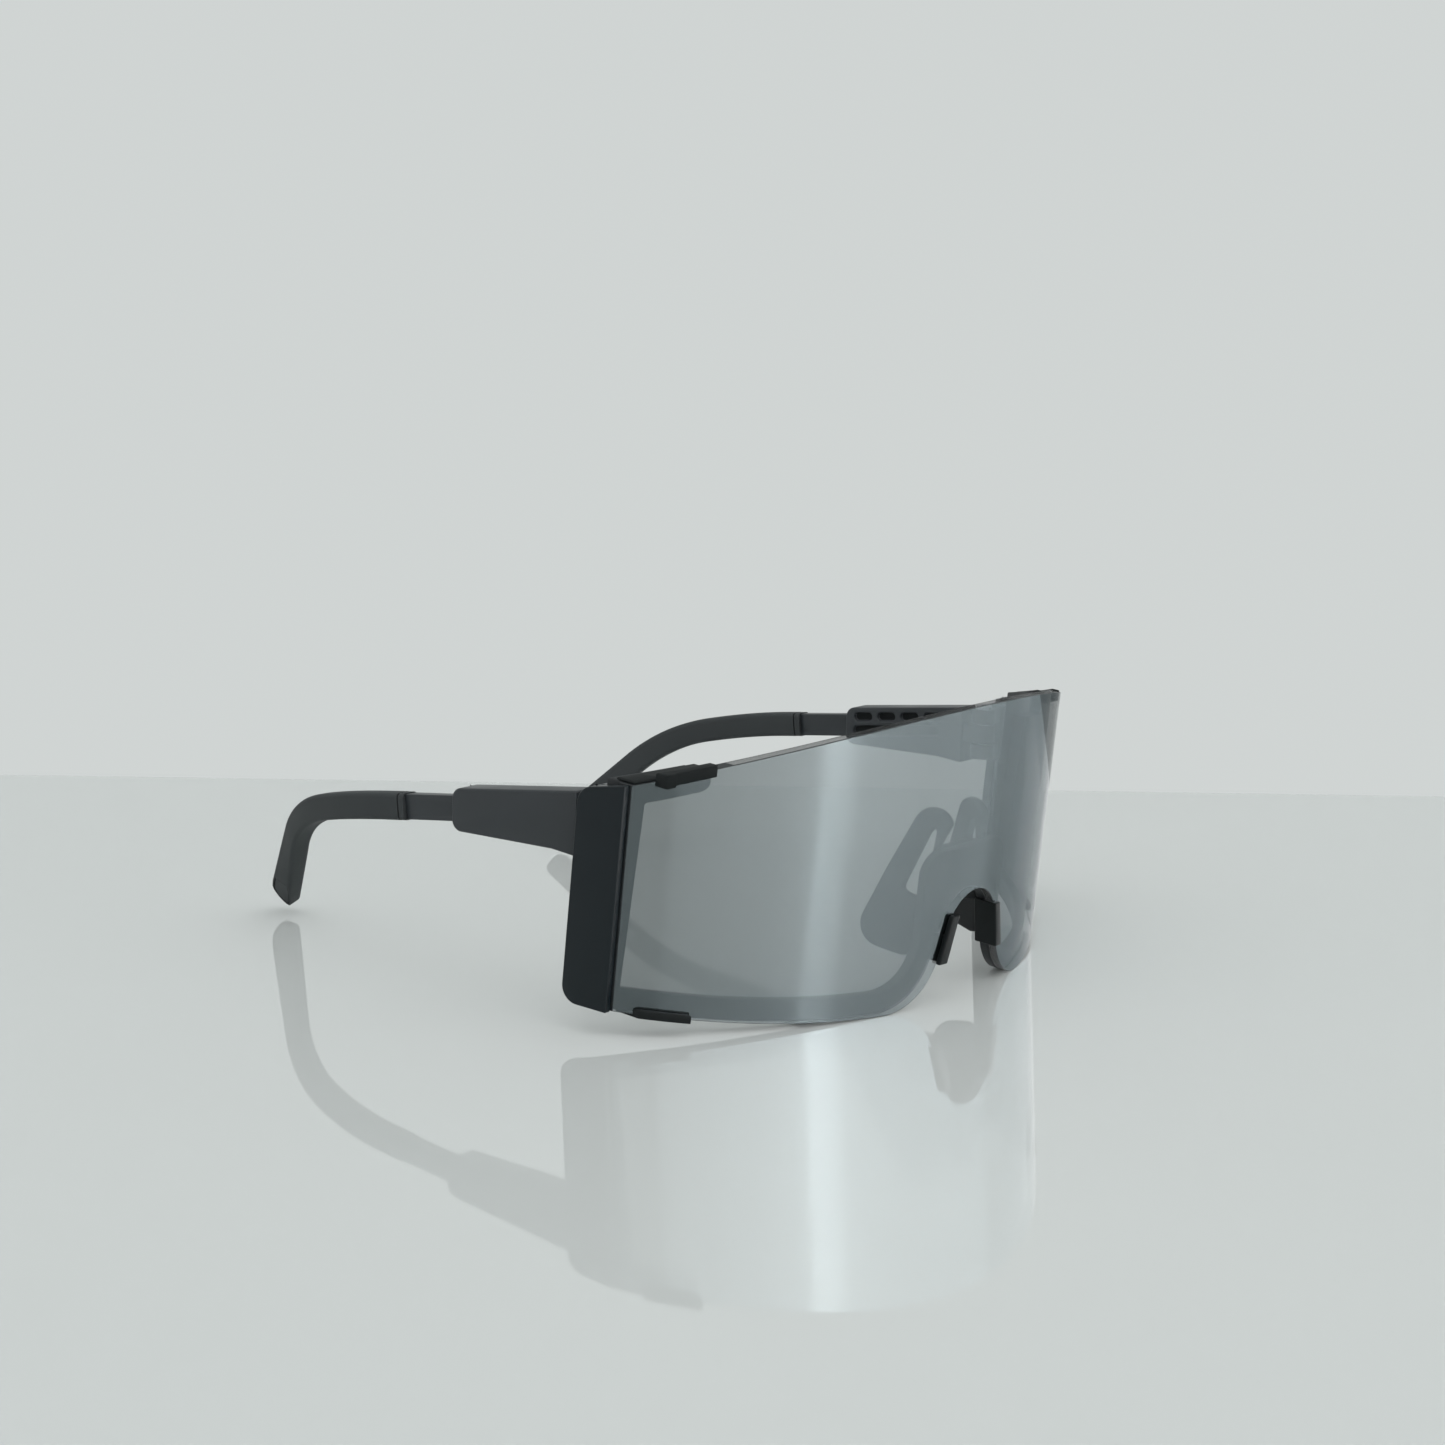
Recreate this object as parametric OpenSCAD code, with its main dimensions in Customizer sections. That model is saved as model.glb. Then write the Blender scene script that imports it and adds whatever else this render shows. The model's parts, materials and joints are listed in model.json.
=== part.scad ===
// Wrap-round shield glasses: one curved mirror lens in a half frame, folding arms with
// sliding bars, and soft hooked tips. Lens faces -Y, arms run to +Y, +Z is up, table at z = 0.

/* [Lens] */
// radius of the outer face of the lens
lens_radius = 88; // [80:0.5:100]
// thickness of the lens
lens_thickness = 1.8; // [1.2:0.1:2.4]
// half the width of the lens between the side panels
lens_half_width = 68.3; // [60:0.1:72]
// height of the lens at its deepest place
lens_height = 58.6; // [50:0.2:64]
// lean of the lens in degrees, lower edge towards the face
lens_tilt = 4.64; // [3:0.1:8]
// radius of the brow line
brow_radius = 175; // [140:1:260]
// radius of the sweep along the lower edge
lower_sweep_radius = 430; // [300:5:700]
// distance of the lower inner corner from the middle
lower_corner_x = 23.5; // [20:0.5:28]
// radius of the lower inner corner
lower_corner_radius = 14; // [10:0.5:16]

/* [Nose] */
// height of the top of the nose arch over the lowest edge
arch_rise = 21.7; // [16:0.1:26]
// radius of the nose arch
arch_radius = 8.6; // [7:0.1:11]
// half the width of the nose gap where the arch ends
arch_half_width = 7.2; // [6:0.1:9]
// half the width of the nose gap at the bottom
gap_half_width = 9.7; // [8:0.1:12]
// height above the lowest edge where the nose gap has its full width
gap_rise = 8.1; // [5:0.1:12]
// half the width of the saddle behind the bridge
saddle_half_width = 8.8; // [7.5:0.1:11]
// reach of the saddle behind the frame
saddle_reach = 6.2; // [4:0.1:9]
// thickness of a nose wing
wing_thickness = 2; // [1.6:0.1:3.2]
// width of the upper end of a nose wing
wing_top = 8.1; // [5:0.1:10]
// width of the lower end of a nose wing
wing_band = 4.6; // [3:0.1:6]
// width of the rounded rear of a nose wing
wing_lobe = 9; // [5:0.1:12]
// outward lean of a nose wing in degrees
wing_flare = 12; // [4:1:20]
// turn of a nose wing towards the temples in degrees
wing_splay = 15; // [5:1:25]

/* [Frame] */
// thickness of the band behind the lens
frame_thickness = 2; // [1.4:0.1:3]
// width of the band under the eyes
frame_band = 4.1; // [3:0.1:8]
// distance of the side of the frame inside the edge of the lens
frame_inset = 0.3; // [0.1:0.1:3]
// width of the band at the sides, at the level of the brow line
side_band = 3.5; // [1:0.1:5]
// width of the band at the sides, at the level of the lowest edge
side_band_low = 1.8; // [0.8:0.1:4]
// height of the bridge over the nose arch
bridge_band = 8.5; // [5:0.1:12]
// rounding of the bridge corners
bridge_rounding = 5; // [2:0.5:7]
// length of the brow tab at each side
brow_tab = 11.1; // [6:0.1:14]
// width of the brow tab
brow_tab_width = 4.6; // [2.5:0.1:6]
// gap between the lens and the parts that hold it
seat_gap = 0.1; // [0.05:0.05:0.3]

/* [Side panels] */
// length of a panel behind the edge of the lens
panel_length = 10.1; // [8:0.02:16]
// outward reach of the rear edge of a panel past the edge of the lens
panel_flare = 2.7; // [2:0.1:6]
// wall thickness of a panel
panel_wall = 1.7; // [1.2:0.1:2.6]
// rise of the top of a panel over the brow line at the edge of the lens
panel_rise = 0.48; // [0:0.02:2]
// fall of the top of a panel to its rear edge
panel_fall = 2.6; // [0:0.1:4]
// drop of the bottom of a panel under the edge of the lens
panel_drop = 0.14; // [0:0.02:1]
// rounding of the rear corners of a panel
panel_rounding = 3.4; // [1:0.1:6]
// gap between the edge of the lens and a panel
edge_gap = 0.2; // [0.2:0.05:0.6]
// thickness of the roof over the hinge
roof_thickness = 1.2; // [1:0.1:2.5]

/* [Clips] */
// thickness of a clip in front of the lens
clip_thickness = 1.5; // [1:0.1:2.5]
// reach of a brow clip under the brow line
brow_clip_reach = 0.7; // [0.4:0.1:2]
// rise of a brow clip over the brow line
brow_clip_rise = 1.5; // [0.6:0.1:2]
// length of a brow clip
brow_clip_length = 6.7; // [5:0.1:12]
// drop of a lower clip under the edge of the lens
lower_clip_drop = 0.45; // [0.4:0.05:1]
// length of a lower clip
lower_clip_length = 6.9; // [5:0.1:12]
// reach of a clip over the face of the lens
clip_lip = 1.7; // [1:0.1:3]
// thickness of the web around the edge of the lens
clip_web = 0.5; // [0.4:0.1:1.5]

/* [Hinges] */
// distance of a hinge axis inside the rear edge of its panel
hinge_inset = 6.4; // [5.5:0.1:8]
// distance of a hinge axis in front of the rear edge of its panel
hinge_setback = 1.2; // [0.5:0.1:2]
// depth of the middle of a hinge under the brow line
hinge_drop = 23.33; // [21:0.01:30]
// outer radius of a knuckle
knuckle_radius = 2.6; // [2:0.1:3]
// height of the middle knuckle
knuckle_height = 4; // [3:0.1:5]
// height of an outer knuckle
outer_knuckle_height = 3.1; // [2:0.1:4]
// gap between knuckles
knuckle_gap = 0.3; // [0.2:0.05:0.5]
// radius of a hinge pin
pin_radius = 1; // [0.7:0.05:1.3]
// running clearance of the moving knuckle on its pin
pin_clearance = 0.08; // [0.02:0.01:0.1]
// gap between a hinge axis and the front of an arm
arm_standoff = 3.8; // [3.4:0.1:5]

/* [Arms] */
// wall of an arm beside its bar
arm_wall = 1.2; // [1:0.1:2]
// length of an arm from its hinge axis to its shoulder
arm_length = 34.56; // [28:0.02:44]
// rise of the top of an arm over the middle of its hinge, at the front
arm_rise_front = 5.56; // [4.5:0.02:8]
// rise of the top of an arm over the middle of its hinge, at the shoulder
arm_rise_rear = 1.66; // [1:0.02:4]
// drop of the underside of an arm under the middle of its hinge, near the front
arm_drop_front = 6.14; // [5.5:0.02:9]
// drop of the underside of an arm under the middle of its hinge, at the shoulder
arm_drop_rear = 6.44; // [5.8:0.02:9]
// rounding of the shoulder
shoulder_rounding = 2.2; // [1:0.1:3]
// depth of the pockets in the inner face
pocket_depth = 0.7; // [0.4:0.1:1]
// length of an upper pocket
pocket_length = 4.7; // [3:0.1:6]
// spacing of the upper pockets
pocket_pitch = 6.2; // [5.5:0.1:8]

/* [Sliding bars] */
// drop of a bar at the shoulder under the middle of the hinge
bar_drop = 2.51; // [2:0.01:4]
// slope of a bar in degrees, rear end lower
bar_slope = 6.96; // [4:0.02:9]
// height of a bar
bar_height = 4.9; // [4:0.1:6]
// thickness of a bar
bar_thickness = 2.6; // [1.8:0.1:3]
// length of a bar inside the arm
bar_inside = 18; // [14:0.5:20]
// length of a bar behind the shoulder
bar_outside = 17; // [14:0.5:22]
// travel of a bar each way
slide_travel = 6; // [2:0.5:8]
// clearance around a bar in its channel
slide_clearance = 0.3; // [0.2:0.05:0.5]
// radius of the stop pin
stop_radius = 0.8; // [0.5:0.05:1]

/* [Tips] */
// wall of a tip over and under the end of its bar
tip_lip = 0.25; // [0.2:0.05:1]
// wall of a tip beside its bar
tip_wall = 0.7; // [0.5:0.1:1.2]
// rounding of the tip section
tip_rounding = 1.4; // [0.5:0.1:1.9]
// turn of a tip towards the head in degrees
set_angle = 15.9; // [5:0.1:25]
// radius of that turn
set_radius = 69.6; // [40:0.2:120]
// roll of that turn in degrees, 90 is level
set_roll = 69.3; // [45:0.1:90]
// bend of the hook behind the ear in degrees
hook_angle = 35.7; // [20:0.1:60]
// radius of the hook
hook_radius = 34.6; // [20:0.2:60]
// roll of the hook in degrees, 0 is straight down
hook_roll = 23.3; // [0:0.1:45]
// straight length at the end of a tip
tail_length = 27.6; // [15:0.1:35]
// length of the collar at the front of a tip
collar_length = 1.4; // [0.8:0.1:3]
// straight length of a tip between its turn and its hook
mid_length = 2; // [1:0.1:6]
// radius of the wire inside a tip
wire_radius = 0.8; // [0.5:0.05:1.2]
// distance of the end of the wire from the end of the tip
wire_short = 10.1; // [6:0.1:14]

/* [Hidden] */
$fn = 96;
// distance from the lens front to the middle of the whole depth
mid_depth = 74.84;
// how far cuts run past what they cut
spare = 10;
// how far flat outlines are carried behind and in front of the lens front
carry_rear = lens_radius / 2 + 2;
carry_front = 6;
// how far upright stock runs under and over the brow line
stock_under = lens_height + 21.4;
stock_over = 20;

// radii of the faces that follow the lens
lens_inner = lens_radius - lens_thickness;
frame_outer = lens_inner - seat_gap;
frame_inner = frame_outer - frame_thickness;
clip_inner = lens_radius + seat_gap;
clip_outer = clip_inner + clip_thickness;
clip_rear = frame_outer - 0.6;

// lens and frame outline
frame_half_width = lens_half_width - frame_inset;
corner_depth = lens_height - lower_corner_radius;
arch_depth = lens_height - arch_rise;
gap_depth = lens_height - gap_rise;
arch_foot = arch_depth + arch_radius * 0.45;
bridge_depth = arch_depth - bridge_band;
window_inner_x = lower_corner_x - lower_corner_radius + frame_band;
lens_top_z = lens_height * cos(lens_tilt) - sin(lens_tilt) * lens_rise(lower_corner_x);

// side panels
panel_half_width = lens_half_width + panel_flare;
panel_front_x = lens_half_width + edge_gap;
panel_sink = 0.2;
panel_shift = 0.2;
panel_front = lens_rise(lens_half_width) + panel_sink;
panel_start = panel_front - panel_wall;
panel_root = ring_back(frame_inner, frame_half_width);
panel_rear = lens_rise(lens_half_width) + panel_length;
panel_top = brow_fall(lens_half_width) - panel_rise;
panel_bottom = lens_height - lower_rise(lens_half_width) + panel_drop;

// hinges
hinge_x = panel_half_width - hinge_inset;
hinge_y = panel_rear * cos(lens_tilt) + hinge_drop * sin(lens_tilt) - hinge_setback;
hinge_z = lens_top_z - hinge_drop * cos(lens_tilt) + panel_rear * sin(lens_tilt);
pin_seat = 0.02;
pin_bottom = hinge_z - knuckle_height / 2 - knuckle_gap - outer_knuckle_height;
pin_top = hinge_z + knuckle_height / 2 + knuckle_gap + outer_knuckle_height;

// arms and bars
shoulder_y = hinge_y + arm_length;
channel_height = bar_height + 2 * slide_clearance;
channel_thickness = bar_thickness + 2 * slide_clearance;
arm_thickness = channel_thickness + 2 * arm_wall;
arm_shift = 0.1;
bar_z = hinge_z - bar_drop;
stop_back = 8;

// tips: where the bar stops short of them, and how they lap
bar_step = 0.3;
bar_fit = 0.05;
socket_height = bar_height - 2 * bar_step + 2 * bar_fit;
socket_thickness = bar_thickness + 2 * bar_fit;
tip_height = socket_height + 2 * tip_lip;
tip_thickness = bar_thickness + 2 * tip_wall;
bar_reach = bar_outside - 2;
wire_lead = 0.6;
// how much fuller the straight lengths of a tip are, and how far they lap over the turns
fullness = 0.05;
lap = 0.3;

// how far a circle of the lens falls back at a distance from the middle
function lens_rise(x) = lens_radius - sqrt(lens_radius * lens_radius - x * x);
function ring_back(r, x) = lens_radius - sqrt(r * r - x * x);
// how far the brow line falls and the lower edge rises at a distance from the middle
function brow_fall(x) = brow_radius - sqrt(brow_radius * brow_radius - x * x);
function lower_rise(x) = lower_sweep_radius
    - sqrt(lower_sweep_radius * lower_sweep_radius - (x - lower_corner_x) * (x - lower_corner_x));

// whole object into the shared frame
module place() translate([0, -mid_depth, 0]) children();

// right side from the left one
module flip() mirror([1, 0, 0]) children();

// frame of the leaning lens: X across, Y back from the lens, Z down from the brow line
module lens_frame() translate([0, 0, lens_top_z]) rotate([lens_tilt, 0, 0]) children();

// frame of a bar: X down, Y towards the head, Z along the bar to the rear
module bar_frame() {
    translate([hinge_x, shoulder_y, bar_z])
        rotate([-90 - bar_slope, 0, 0])
            rotate([0, 0, 90])
                children();
}

// flat outline drawn across the front, carried back through the lens
module carry_back() {
    translate([0, carry_rear, 0]) rotate([90, 0, 0]) linear_extrude(carry_rear + carry_front) children();
}

// flat outline seen from above, carried up through the whole height
module carry_up() translate([0, 0, -stock_under]) linear_extrude(stock_under + stock_over) children();

// flat outline seen from the side, carried out past the left side
module carry_out() rotate([90, 0, 90]) linear_extrude(panel_half_width + spare) children();

// ring about the axis of the lens
module lens_ring(outer, inner) {
    carry_up() translate([0, lens_radius]) difference() {
        circle(r = outer);
        circle(r = inner);
    }
}

// one half of the lens outline, drawn in by an inset
module half_outline(inset, inner_x, outer_x) {
    intersection() {
        translate([lower_corner_x, lower_sweep_radius - lens_height])
            circle(r = lower_sweep_radius - inset, $fn = 360);
        translate([lower_corner_x, -lens_height - spare])
            square([outer_x - lower_corner_x, lens_height + 2 * spare]);
    }
    translate([inner_x, -corner_depth])
        square([lower_corner_x - inner_x + 0.01, corner_depth + spare]);
    translate([lower_corner_x, -corner_depth]) circle(r = lower_corner_radius - inset);
}

// opening for the nose
module nose_opening() {
    translate([0, -arch_depth - arch_radius]) circle(r = arch_radius);
    polygon([
        [-arch_half_width, -arch_foot],
        [arch_half_width, -arch_foot],
        [gap_half_width, -gap_depth],
        [gap_half_width, -lens_height - spare],
        [-gap_half_width, -lens_height - spare],
        [-gap_half_width, -gap_depth]
    ]);
}

// outline of the whole lens between two sides
module lens_outline(half_width) {
    difference() {
        intersection() {
            translate([0, -brow_radius]) circle(r = brow_radius, $fn = 360);
            union() {
                half_outline(0, -1, half_width);
                mirror([1, 0]) half_outline(0, -1, half_width);
            }
        }
        nose_opening();
    }
}

// strip along the brow line
module brow_strip(under, over, from_x, to_x) {
    intersection() {
        difference() {
            translate([0, -brow_radius]) circle(r = brow_radius + over, $fn = 360);
            translate([0, -brow_radius]) circle(r = brow_radius - under, $fn = 360);
        }
        translate([from_x, -lens_height]) square([to_x - from_x, lens_height + spare]);
    }
}

// strip along the lower edge of the lens
module lower_strip(above, below, from_x, to_x) {
    intersection() {
        difference() {
            translate([lower_corner_x, lower_sweep_radius - lens_height])
                circle(r = lower_sweep_radius + below, $fn = 360);
            translate([lower_corner_x, lower_sweep_radius - lens_height])
                circle(r = lower_sweep_radius - above, $fn = 360);
        }
        translate([from_x, -lens_height - spare]) square([to_x - from_x, lens_height]);
    }
}

// the mirror lens
module lens() {
    color([0.62, 0.64, 0.66]) lens_frame() intersection() {
        lens_ring(lens_radius, lens_inner);
        carry_back() lens_outline(lens_half_width);
    }
}

// brow tab that runs in from the side of the frame
module brow_tab_outline() {
    inner_x = frame_half_width - brow_tab + brow_tab_width / 2;
    brow_turn = asin(inner_x / brow_radius);
    intersection() {
        lens_outline(frame_half_width);
        union() {
            brow_strip(brow_tab_width, 1, inner_x, frame_half_width);
            translate([inner_x, -brow_fall(inner_x) - brow_tab_width / 2 / cos(brow_turn)])
                circle(d = brow_tab_width);
        }
    }
}

// opening of the frame at one eye, open at the brow and narrower there
module eye_opening() {
    intersection() {
        half_outline(frame_band, window_inner_x, frame_half_width);
        polygon([
            [0, spare],
            [frame_half_width - side_band, spare],
            [frame_half_width - side_band, 0],
            [frame_half_width - side_band_low, -lens_height],
            [0, -lens_height]
        ]);
    }
}

// half frame behind the lens
module front_frame() {
    color([0.16, 0.18, 0.19]) lens_frame() intersection() {
        lens_ring(frame_outer, frame_inner);
        carry_back() {
            difference() {
                lens_outline(frame_half_width);
                eye_opening();
                mirror([1, 0]) eye_opening();
                translate([-window_inner_x - 1, -bridge_depth])
                    square([2 * window_inner_x + 2, bridge_depth + spare]);
                bridge_corner();
                mirror([1, 0]) bridge_corner();
            }
            brow_tab_outline();
            mirror([1, 0]) brow_tab_outline();
        }
    }
}

// piece cut from a corner of the bridge to round it
module bridge_corner() {
    difference() {
        translate([window_inner_x - bridge_rounding, -bridge_depth - bridge_rounding])
            square([bridge_rounding + 1, bridge_rounding + 1]);
        translate([window_inner_x - bridge_rounding, -bridge_depth - bridge_rounding])
            circle(r = bridge_rounding);
    }
}

// inner face of a panel at a distance behind the lens front
function panel_inner_x(d) = panel_half_width - panel_wall
    - (panel_rear - d) * (panel_flare - edge_gap - panel_wall + panel_shift) / (panel_rear - panel_front);

// top of a panel at a distance behind the lens front
function panel_roof(d) = -panel_top - panel_fall * (d - panel_start) / (panel_rear - panel_start);

// outline of a panel seen from the side
module panel_side() {
    r = panel_rounding;
    slope = atan(panel_fall / (panel_rear - panel_start));
    rear_z = panel_roof(panel_rear - r) - r / cos(slope);
    polygon([
        [panel_start, -panel_bottom],
        [panel_rear - r, -panel_bottom],
        [panel_rear - r, -panel_bottom + r],
        [panel_rear, -panel_bottom + r],
        [panel_rear, rear_z],
        [panel_rear - r, rear_z],
        [panel_rear - r + r * sin(slope), rear_z + r * cos(slope)],
        [panel_start, panel_roof(panel_start)]
    ]);
    translate([panel_rear - r, -panel_bottom + r]) circle(r = r);
    translate([panel_rear - r, rear_z]) circle(r = r);
}

// side panel that closes the wrap beside the eye
module side_panel() color([0.14, 0.165, 0.172]) lens_frame() {
    root_step = 0.35;
    lip_step = 0.45;
    root = ring_back(frame_outer, frame_half_width) + root_step;
    lip = ring_back(lens_inner, lens_half_width) + lip_step;
    intersection() {
        carry_up() polygon([
            [frame_half_width, root],
            [lens_half_width, lip],
            [panel_front_x, lip],
            [panel_front_x, panel_front],
            [panel_front_x + panel_wall - panel_shift, panel_front],
            [panel_half_width, panel_rear],
            [panel_half_width - panel_wall, panel_rear],
            [panel_inner_x(panel_root), panel_root],
            [frame_half_width, panel_root]
        ]);
        carry_out() panel_side();
    }
    panel_lid(panel_root);
}

// small roof over the hinge, with a slot
module panel_lid(lid_front) {
    lid_rear = panel_rear - 2.6;
    lid_inner_x = frame_half_width - 2.2;
    weld = 0.3;
    slot_inset = 0.4;
    slot_width = 0.7;
    slot_length = 0.8;
    difference() {
        intersection() {
            carry_up() polygon([
                [lid_inner_x, lid_front],
                [panel_inner_x(lid_front) + weld, lid_front],
                [panel_inner_x(lid_rear) + weld, lid_rear],
                [lid_inner_x, lid_rear]
            ]);
            carry_out() polygon([
                [panel_start, panel_roof(panel_start)],
                [panel_rear, panel_roof(panel_rear)],
                [panel_rear, panel_roof(panel_rear) - roof_thickness],
                [panel_start, panel_roof(panel_start) - roof_thickness]
            ]);
        }
        carry_up() translate([frame_half_width - slot_inset, lid_front + slot_inset])
            square([slot_width, slot_length]);
    }
}

// bracket with the two outer knuckles
module hinge_bracket() {
    plate_margin = 0.3;
    plate_thickness = 1.05;
    plate_half = pin_top - hinge_z + 0.8;
    finish = panel_rear - plate_margin;
    start = panel_root + plate_margin;
    lug_front = 2.2;
    lug_depth = 3.4;
    lug_end_x = panel_half_width - panel_wall - plate_thickness;
    color([0.3, 0.31, 0.32]) difference() {
        union() {
            lens_frame() translate([0, 0, -hinge_drop - plate_half]) linear_extrude(2 * plate_half) polygon([
                [panel_inner_x(start), start],
                [panel_inner_x(finish), finish],
                [panel_inner_x(finish) - plate_thickness, finish],
                [panel_inner_x(start) - plate_thickness, start]
            ]);
            for (z = [pin_bottom, pin_top - outer_knuckle_height]) translate([hinge_x, hinge_y, z]) {
                cylinder(r = knuckle_radius, h = outer_knuckle_height);
                translate([0, -lug_front, 0]) cube([lug_end_x - hinge_x, lug_depth, outer_knuckle_height]);
            }
        }
        translate([hinge_x, hinge_y, pin_bottom - spare])
            cylinder(r = pin_radius + pin_seat, h = pin_top - pin_bottom + 2 * spare);
    }
}

// hinge pin with a slotted head
module hinge_pin() {
    foot = 0.1;
    head_rim = 0.7;
    head_height = 0.8;
    slot_width = 0.4;
    slot_depth = 0.4;
    color([0.5, 0.51, 0.52]) translate([hinge_x, hinge_y, 0]) difference() {
        union() {
            translate([0, 0, pin_bottom - foot]) cylinder(r = pin_radius, h = pin_top - pin_bottom + 2 * foot);
            translate([0, 0, pin_top]) cylinder(r = pin_radius + head_rim, h = head_height);
        }
        translate([-spare / 2, -slot_width / 2, pin_top + head_height - slot_depth])
            cube([spare, slot_width, head_height]);
    }
}

// clip over the brow line, with a lug at its outer end
module brow_clip() {
    lug_length = 1.2;
    lug_lap = 0.1;
    lug_step = 0.2;
    lug_reach = 0.2;
    edge_inset = 0.2;
    to_x = lens_half_width - 2.6;
    from_x = to_x - brow_clip_length;
    color([0.15, 0.17, 0.175]) lens_frame() {
        intersection() {
            lens_ring(clip_outer, clip_inner);
            carry_back() brow_strip(brow_clip_reach, brow_clip_rise, from_x, to_x - lug_length);
        }
        intersection() {
            lens_ring(clip_outer + lug_step, clip_inner);
            carry_back()
                brow_strip(brow_clip_reach + lug_reach, brow_clip_rise, to_x - lug_length - lug_lap, to_x);
        }
        intersection() {
            lens_ring(clip_outer, clip_rear);
            carry_back() difference() {
                brow_strip(0, clip_web + seat_gap, from_x, to_x);
                brow_strip(1, seat_gap, from_x - 1, to_x + 1);
            }
        }
        intersection() {
            lens_ring(lens_radius, clip_rear);
            carry_back() difference() {
                brow_strip(0, clip_web + seat_gap, to_x - lug_lap, lens_half_width - edge_inset);
                brow_strip(1, seat_gap, from_x, lens_half_width + 1);
            }
        }
    }
}

// clip under the lower edge
module lower_clip() {
    lip_less = 0.5;
    front = clip_outer - 0.4;
    to_x = lens_half_width - 2.3;
    from_x = to_x - lower_clip_length;
    color([0.15, 0.17, 0.175]) lens_frame() {
        intersection() {
            lens_ring(front, clip_inner);
            carry_back() lower_strip(clip_lip - lip_less, lower_clip_drop, from_x, to_x);
        }
        intersection() {
            lens_ring(front, clip_rear);
            carry_back() difference() {
                lower_strip(0, lower_clip_drop, from_x, to_x);
                lower_strip(1, seat_gap, from_x - 1, to_x + 1);
            }
        }
    }
}

// edge of the nose opening at a depth under the brow line
function nose_edge(v) = arch_half_width
    + (gap_half_width - arch_half_width) * (v - arch_foot) / (gap_depth - arch_foot);

// upright clip at the edge of the nose opening
module nose_clip() {
    low_inset = 0.4;
    front = clip_outer - 0.5;
    lip = clip_lip - 0.5;
    low_lip_more = 0.3;
    top = arch_foot;
    low = gap_depth - low_inset;
    web = clip_web + 0.3;
    color([0.14, 0.16, 0.165]) lens_frame() {
        intersection() {
            lens_ring(front, clip_inner);
            carry_back() polygon([
                [nose_edge(top) - seat_gap - web, -top],
                [nose_edge(top) + lip, -top],
                [nose_edge(low) + lip + low_lip_more, -low],
                [nose_edge(low) - seat_gap - web, -low]
            ]);
        }
        intersection() {
            lens_ring(front, frame_inner);
            carry_back() polygon([
                [nose_edge(top) - seat_gap - web, -top],
                [nose_edge(top) - seat_gap, -top],
                [nose_edge(low) - seat_gap, -low],
                [nose_edge(low) - seat_gap - web, -low]
            ]);
        }
    }
}

// soft saddle behind the bridge
module nose_saddle() color([0.13, 0.14, 0.145]) saddle_form();

module saddle_form() {
    r = 3;
    skin = 0.05;
    top_inset = 0.4;
    leg = 4.6;
    half = saddle_half_width;
    top = bridge_depth + top_inset;
    lens_frame() intersection() {
        carry_up() translate([0, lens_radius]) circle(r = frame_inner - skin);
        translate([0, ring_back(frame_inner, 0) + saddle_reach, 0]) rotate([90, 0, 0])
            linear_extrude(saddle_reach + 2) difference() {
                union() {
                    translate([-half, -arch_depth - leg]) square([2 * half, arch_depth + leg - top - r]);
                    translate([r - half, -top - r - 1]) square([2 * half - 2 * r, r + 1]);
                    translate([half - r, -top - r]) circle(r = r);
                    translate([r - half, -top - r]) circle(r = r);
                }
                nose_opening();
            }
    }
}

// outline of a nose wing, X to the rear, with a drop-shaped window behind the frame
module wing_outline() {
    difference() {
        hull() {
            translate([-2.2, 10.6]) circle(d = wing_top, $fn = 32);
            translate([3.5, -9.6]) circle(d = wing_lobe, $fn = 32);
            translate([-1.3, -12.2]) circle(d = wing_band, $fn = 32);
        }
        hull() {
            translate([-2.6, 10.1]) circle(r = 0.5, $fn = 32);
            translate([-0.55, -1.1]) circle(r = 1.25, $fn = 32);
            translate([-2.9, -2.4]) circle(r = 0.4, $fn = 32);
        }
    }
}

// room that a nose wing leaves for the bridge and the bands of the frame
module frame_room() {
    skin = 0.05;
    over = 0.3;
    lens_frame() translate([0, lens_radius, -stock_under])
        linear_extrude(stock_under - bridge_depth + over) difference() {
            circle(r = lens_radius + spare);
            circle(r = frame_inner - skin);
        }
}

// soft wing beside the nose
module nose_wing() {
    root_x = saddle_half_width + 0.2 + wing_thickness / 2;
    root = [root_x, ring_back(frame_inner, 0) + saddle_reach - 1.3, 1.5 - arch_depth];
    color([0.12, 0.13, 0.135]) difference() {
        lens_frame() translate(root) rotate([0, -wing_flare, 0]) rotate([0, 0, -wing_splay])
            translate([-wing_thickness / 2, 0, 0]) rotate([90, 0, 90]) linear_extrude(wing_thickness)
                wing_outline();
        saddle_form();
        frame_room();
    }
}

// side outline of an arm
module arm_side() {
    r = shoulder_rounding;
    toe_drop = 0.6;
    toe_length = 6;
    front = hinge_y + arm_standoff;
    slope = atan((arm_rise_front - arm_rise_rear) / (shoulder_y - front));
    foot_z = hinge_z - arm_drop_rear + r;
    round_z = hinge_z + arm_rise_rear + r * tan(slope) - r / cos(slope);
    polygon([
        [front, hinge_z - arm_drop_front - toe_drop],
        [front + toe_length, hinge_z - arm_drop_front],
        [shoulder_y - r, foot_z - r],
        [shoulder_y - r, foot_z],
        [shoulder_y, foot_z],
        [shoulder_y, round_z],
        [shoulder_y - r, round_z],
        [shoulder_y - r + r * sin(slope), round_z + r * cos(slope)],
        [front, hinge_z + arm_rise_front]
    ]);
    translate([shoulder_y - r, foot_z]) circle(r = r);
    translate([shoulder_y - r, round_z]) circle(r = r);
}

// pill shape along the bar
module pill(length, width) {
    square([width, length - width], center = true);
    translate([0, length / 2 - width / 2]) circle(d = width);
    translate([0, width / 2 - length / 2]) circle(d = width);
}

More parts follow.
